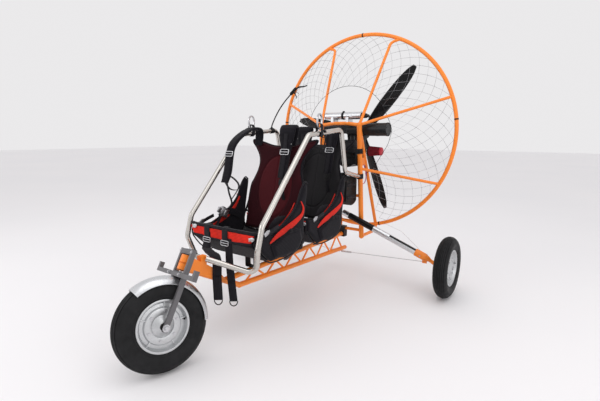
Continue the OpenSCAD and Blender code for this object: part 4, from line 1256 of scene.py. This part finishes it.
def exhaust_details():
    z = ring_middle.z + 0.020
    lips = []
    for y, out in ((0.3325, 1), (0.0305, -1)):
        profile = [(0, -0.002), (0.036, -0.002), (0.039, 0.001), (0.0455, 0.002), (0.0470, 0), (0.0470, -0.010),
                   (0.0452, -0.011)]
        lips.append(turned("cap", profile, 64, at(0.235, y, z), (0, out, 0)))
        lips += bolt_ring(at(0.235, y + out * 0.0018, z), (0, out, 0), 0.0415, 6, 0.3, 0.006, 0.003, False)
    give(join("silencer_end_caps", lips), black_coat)
    for y in (0.105, 0.255):
        give(disc(f"silencer_band_{round(y * 1000)}", at(0.235, y, z), (0, 1, 0), 0.0462, 0.014, 64, 0.0006),
             black_coat)
    low, high = box_of("exhaust_can")
    middle = Vector((at(0.265, 0, 0).x, 0, high.z - 0.026))
    clamp = disc("exhaust_can_clamp", middle + Vector((0, -0.002, 0)), (0, 1, 0), 0.0278, 0.018, 56, 0.0008)
    give(clamp, dark_metal)
    ear = block("exhaust_can_clamp_ear", middle + Vector((0.004, -0.002, 0.029)), (0.012, 0.014, 0.010), 0.002)
    give(ear, dark_metal)
    for side, tag in ((1, "left"), (-1, "right")):
        y = 0.141 if side > 0 else -0.148
        give(disc("exhaust_can_cap_" + tag, middle + Vector((0, y + side * 0.001, 0)), (0, 1, 0), 0.0268, 0.005,
                  56, 0.0015), zinc)
    fitting = turned("exhaust_can_fitting", [(0, 0.058), (0.009, 0.058), (0.011, 0.055), (0.0115, 0.040),
                                             (0.016, 0.038),
                                             (0.0175, 0.022), (0.0175, 0.006), (0.019, 0.004), (0.019, 0)], 36,
                     middle + Vector((0, 0.1435, 0)), (0.1, 1, -0.1))
    give(fitting, black_coat)


def filter_details():
    low, high = box_of("air_filter")
    middle = Vector((at(0.150, 0, 0).x, 0, (low.z + high.z) / 2))
    start, length, pleats = high.y - 0.108, 0.104, 46
    mesh_points, faces = [], []
    for ring in range(7):
        share = ring / 6
        radius = 0.037 - 0.0078 * share
        for k in range(2 * pleats):
            a = math.pi * k / pleats
            r = radius - (0.0026 if k % 2 else 0)
            mesh_points.append((r * math.cos(a), start + 0.006 + (length - 0.014) * share, r * math.sin(a)))
    count = 2 * pleats
    for ring in range(6):
        for k in range(count):
            a, b = ring * count + k, ring * count + (k + 1) % count
            faces.append((a, b, b + count, a + count))
    faces.append(tuple(range(count))[::-1])
    faces.append(tuple(6 * count + k for k in range(count)))
    pleated = from_points("air_filter_pleats", [(x + middle.x, y, z + middle.z) for x, y, z in mesh_points],
                          faces=faces)
    outward(pleated)
    give(pleated, filter_red)
    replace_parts(pleated, "air_filter")
    top = turned("air_filter_cap", [(0, 0.007), (0.024, 0.007), (0.0285, 0.004), (0.0302, 0), (0.0302, -0.006)],
                 48,
                 Vector((middle.x, start + length - 0.005, middle.z)), (0, 1, 0))
    base = turned("air_filter_base", [(0.013, 0.008), (0.036, 0.008), (0.0378, 0.006), (0.0378, 0),
                                      (0.016, -0.002),
                                      (0.0138, -0.010), (0.0138, -0.068)], 48,
                  Vector((middle.x, start, middle.z)), (0, 1, 0))
    give(top, moulded("red_moulded_cap", (0.42, 0.030, 0.045), 0.4, 200, 0.1))
    give(base, grip_rubber)
    give(disc("air_filter_clip", Vector((middle.x, start - 0.014, middle.z)), (0, 1, 0), 0.0152, 0.009, 40,
              0.0006), zinc)


def tank_details():
    low, high = box_of("fuel_tank")
    x = (low.x + high.x) / 2
    cap = turned("fuel_tank_cap", [(0, 0.024), (0.020, 0.024), (0.023, 0.021), (0.023, 0.004), (0.026, 0.003),
                                   (0.026, 0)],
                 28, Vector((x, 0.060, high.z - 0.001)), (0, 0, 1))
    give(cap, grip_rubber)
    hose = eased([Vector((x - 0.030, -0.060, high.z + 0.002)), Vector((x - 0.034, -0.062, high.z + 0.050)),
                  at(0.262, -0.074, high.z + 0.092), at(0.235, -0.060, high.z + 0.130)], 7)
    give(wire("fuel_hose", hose, 0.0034, sides=2), black_plastic)
    for z in (low.z + 0.060, high.z - 0.055):
        route = [Vector((px, py, z)) for px, py in (
            (low.x - 0.0012, -0.100), (low.x - 0.0012, 0.100), (low.x + 0.012, high.y + 0.0012),
            (high.x - 0.012, high.y + 0.0012),
            (high.x + 0.0012, 0.100), (high.x + 0.0012, -0.100), (high.x - 0.012, low.y - 0.0012),
            (low.x + 0.012, low.y - 0.0012),
            (low.x - 0.0012, -0.098))]
        webbed(f"fuel_tank_band_{round(z * 1000)}", route, (0, 0, 1), 0.022, 0.002)


def frame_details():
    axle_x = centre_of("axle_tubes").x
    for side, tag in ((1, "left"), (-1, "right")):
        inner, outer = Vector((axle_x, side * 0.030, 0.478)), Vector((axle_x, side * 0.652, 0.243))
        along = (outer - inner).normalized()
        for share_a, share_b, name in ((0.085, 0.395, "panel"), (0.590, 0.900, "strip")):
            a, b = inner.lerp(outer, share_a), inner.lerp(outer, share_b)
            if name == "panel":
                sleeve = disc(f"axle_blank_panel_{tag}", (a + b) / 2, along, 0.0224, (b - a).length, 56)
            else:
                normal = Vector((0.55, 0, 0.83)).normalized()
                lift = (normal - normal.dot(along) * along).normalized() * 0.0215
                sleeve = swept_band(f"axle_blank_strip_{tag}", [a.lerp(b, k / 6) + lift for k in range(7)],
                                    along.cross(lift), 0.016, 0.0022, 0.4)
            give(sleeve, composite)
        for z in (0.938, 0.759):
            place = post_place(z, side)
            band = disc(f"post_band_{tag}_{round(z * 1000)}", place, (0.1, 0, 1), 0.0186, 0.016, 40, 0.0006)
            give(band, black_plastic)
        plate = block(f"post_bracket_{tag}", post_place(0.865, side, 0.1335) + Vector((0.004, 0, 0)),
                      (0.030, 0.008, 0.072), 0.002,
                      Matrix.Rotation(math.radians(5.7), 4, "Y"))
        give(plate, black_coat)
        strut = wire(f"ring_rigging_{tag}", [at(0.004, side * 0.212, 0.372), at(0.150, side * 0.430, 0.356),
                                             at(0.290, side * 0.640, 0.262)],
                     0.0009, sides=1)
        give(strut, zinc)
        give(hex_bolt(f"axle_bolt_{tag}", inner.lerp(outer, 0.955) + Vector((0.0245, 0, 0)), (1, 0, 0), 0.009,
                      0.004, False),
             zinc)
    for name, colour, shift in (("red", (0.55, 0.02, 0.02), 0.0), ("blue", (0.03, 0.04, 0.30), 0.007)):
        finish = moulded(name + "_wire_cover", colour, 0.45, 200, 0.05)
        route = eased([post_place(0.835) + Vector((-0.012 - shift, 0.022, 0)),
                       post_place(0.79) + Vector((-0.030 - shift, 0.026, 0)),
                       post_place(0.745) + Vector((-0.040 - shift * 2, 0.022, 0)),
                       post_place(0.705) + Vector((-0.024 - shift, 0.020, 0)),
                       post_place(0.690) + Vector((-0.016, 0.004, 0))], 6)
        give(wire(name + "_wire", route, 0.0018, sides=1), finish)
    nose = centre_of("head_tube")
    for side, tag in ((1, "left"), (-1, "right")):
        give(disc(f"head_cup_{tag}", nose + fork_up * side * 0.0005, fork_up, 0.0236, 0.010, 48, 0.001), orange)


def karabiner_details():
    low, high = box_of("karabiners")
    for side, tag in ((1, "left"), (-1, "right")):
        y = side * 0.250
        sleeve = disc(f"karabiner_screw_{tag}", Vector((high.x - 0.0045, y, (low.z + high.z) / 2 + 0.002)),
                      (0, 0, 1), 0.0062, 0.026, 24, 0.001)
        give(sleeve, zinc)
    route = []
    for k in range(28):
        a = 2 * math.pi * k / 28
        route.append(Vector((low.x - 0.012 + 0.020 * math.cos(a), 0.250 + 0.004 * math.sin(a),
                             1.003 + 0.040 * math.sin(a))))
    give(wire("hanging_karabiner", route, 0.0036, True, 2), dark_metal)
    band = []
    for k in range(25):
        a = 2 * math.pi * k / 24
        band.append(Vector((low.x - 0.012, 0.250 + 0.0168 * math.cos(a),
                            1.052 + 0.0168 * math.sin(a) - (0.010 if math.sin(a) < 0 else 0))))
    webbed("hanging_karabiner_loop", band, (1, 0, 0), 0.018, 0.0026)


clear()
engine_details()
drive_details()
exhaust_details()
filter_details()
tank_details()
frame_details()
karabiner_details()

# ---------- throttle ----------

cable_points = [(0.792, -0.247, 1.0919), (0.784, -0.246, 1.112), (0.752, -0.245, 1.160), (0.718, -0.234, 1.215),
                (0.690, -0.212, 1.264), (0.668, -0.186, 1.304)]
cable_route = eased([at(*p) for p in cable_points], 5)
cable = wire("throttle_bowden_cable", cable_route, 0.004, sides=4)
give(cable, black_plastic)
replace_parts(cable, "throttle_cable")
heading = (cable_route[-1] - cable_route[-2]).normalized()
grip_start = cable_route[-1] + heading * 0.0003
grip = turned("throttle_hand_grip", [(0.0045, 0), (0.0075, 0.001), (0.0105, 0.006), (0.0112, 0.012),
                                     (0.0098, 0.018), (0.0112, 0.024),
                                     (0.0098, 0.030), (0.0112, 0.036), (0.0098, 0.042), (0.0112, 0.050),
                                     (0.0085, 0.059), (0, 0.060)],
              28, grip_start, heading)
give(grip, grip_rubber)
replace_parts(grip, "throttle_grip")
arm_root = grip_start + heading * 0.050
lever_route = eased([arm_root + heading * -0.006, arm_root + Vector((-0.014, 0.020, 0.012)),
                     arm_root + Vector((-0.032, 0.048, 0.016)),
                     arm_root + Vector((-0.043, 0.066, 0.0235))], 6)
lever = swept_band("throttle_lever", lever_route, (0.3, 0.2, 1), lambda t: 0.013 - 0.006 * t, 0.005, 0.5)
give(lever, black_plastic)
hook_root = grip_start + heading * 0.020
strings = []
for k, (dx, dy, dz) in enumerate(((0.004, 0.040, -0.034), (-0.008, 0.030, -0.040), (0.006, 0.030, -0.014),
                                  (-0.010, 0.048, -0.008))):
    route = eased([hook_root + heading * 0.004 * k, hook_root + Vector((dx * 0.3, dy * 0.45, dz * 0.15 + 0.006)),
                   hook_root + Vector((dx, dy * 0.85, dz * 0.7)), hook_root + Vector((dx * 0.6, dy, dz))], 6)
    strings.append(wire("string", route, 0.0018, sides=1))
strings.append(turned("knot", [(0, 0.007), (0.005, 0.004), (0.006, 0), (0.005, -0.004), (0, -0.007)], 14,
                      hook_root + Vector((0.001, 0.020, -0.006)), (0.2, 1, 0)))
tassel = give(join("throttle_strings", strings), strap_black)
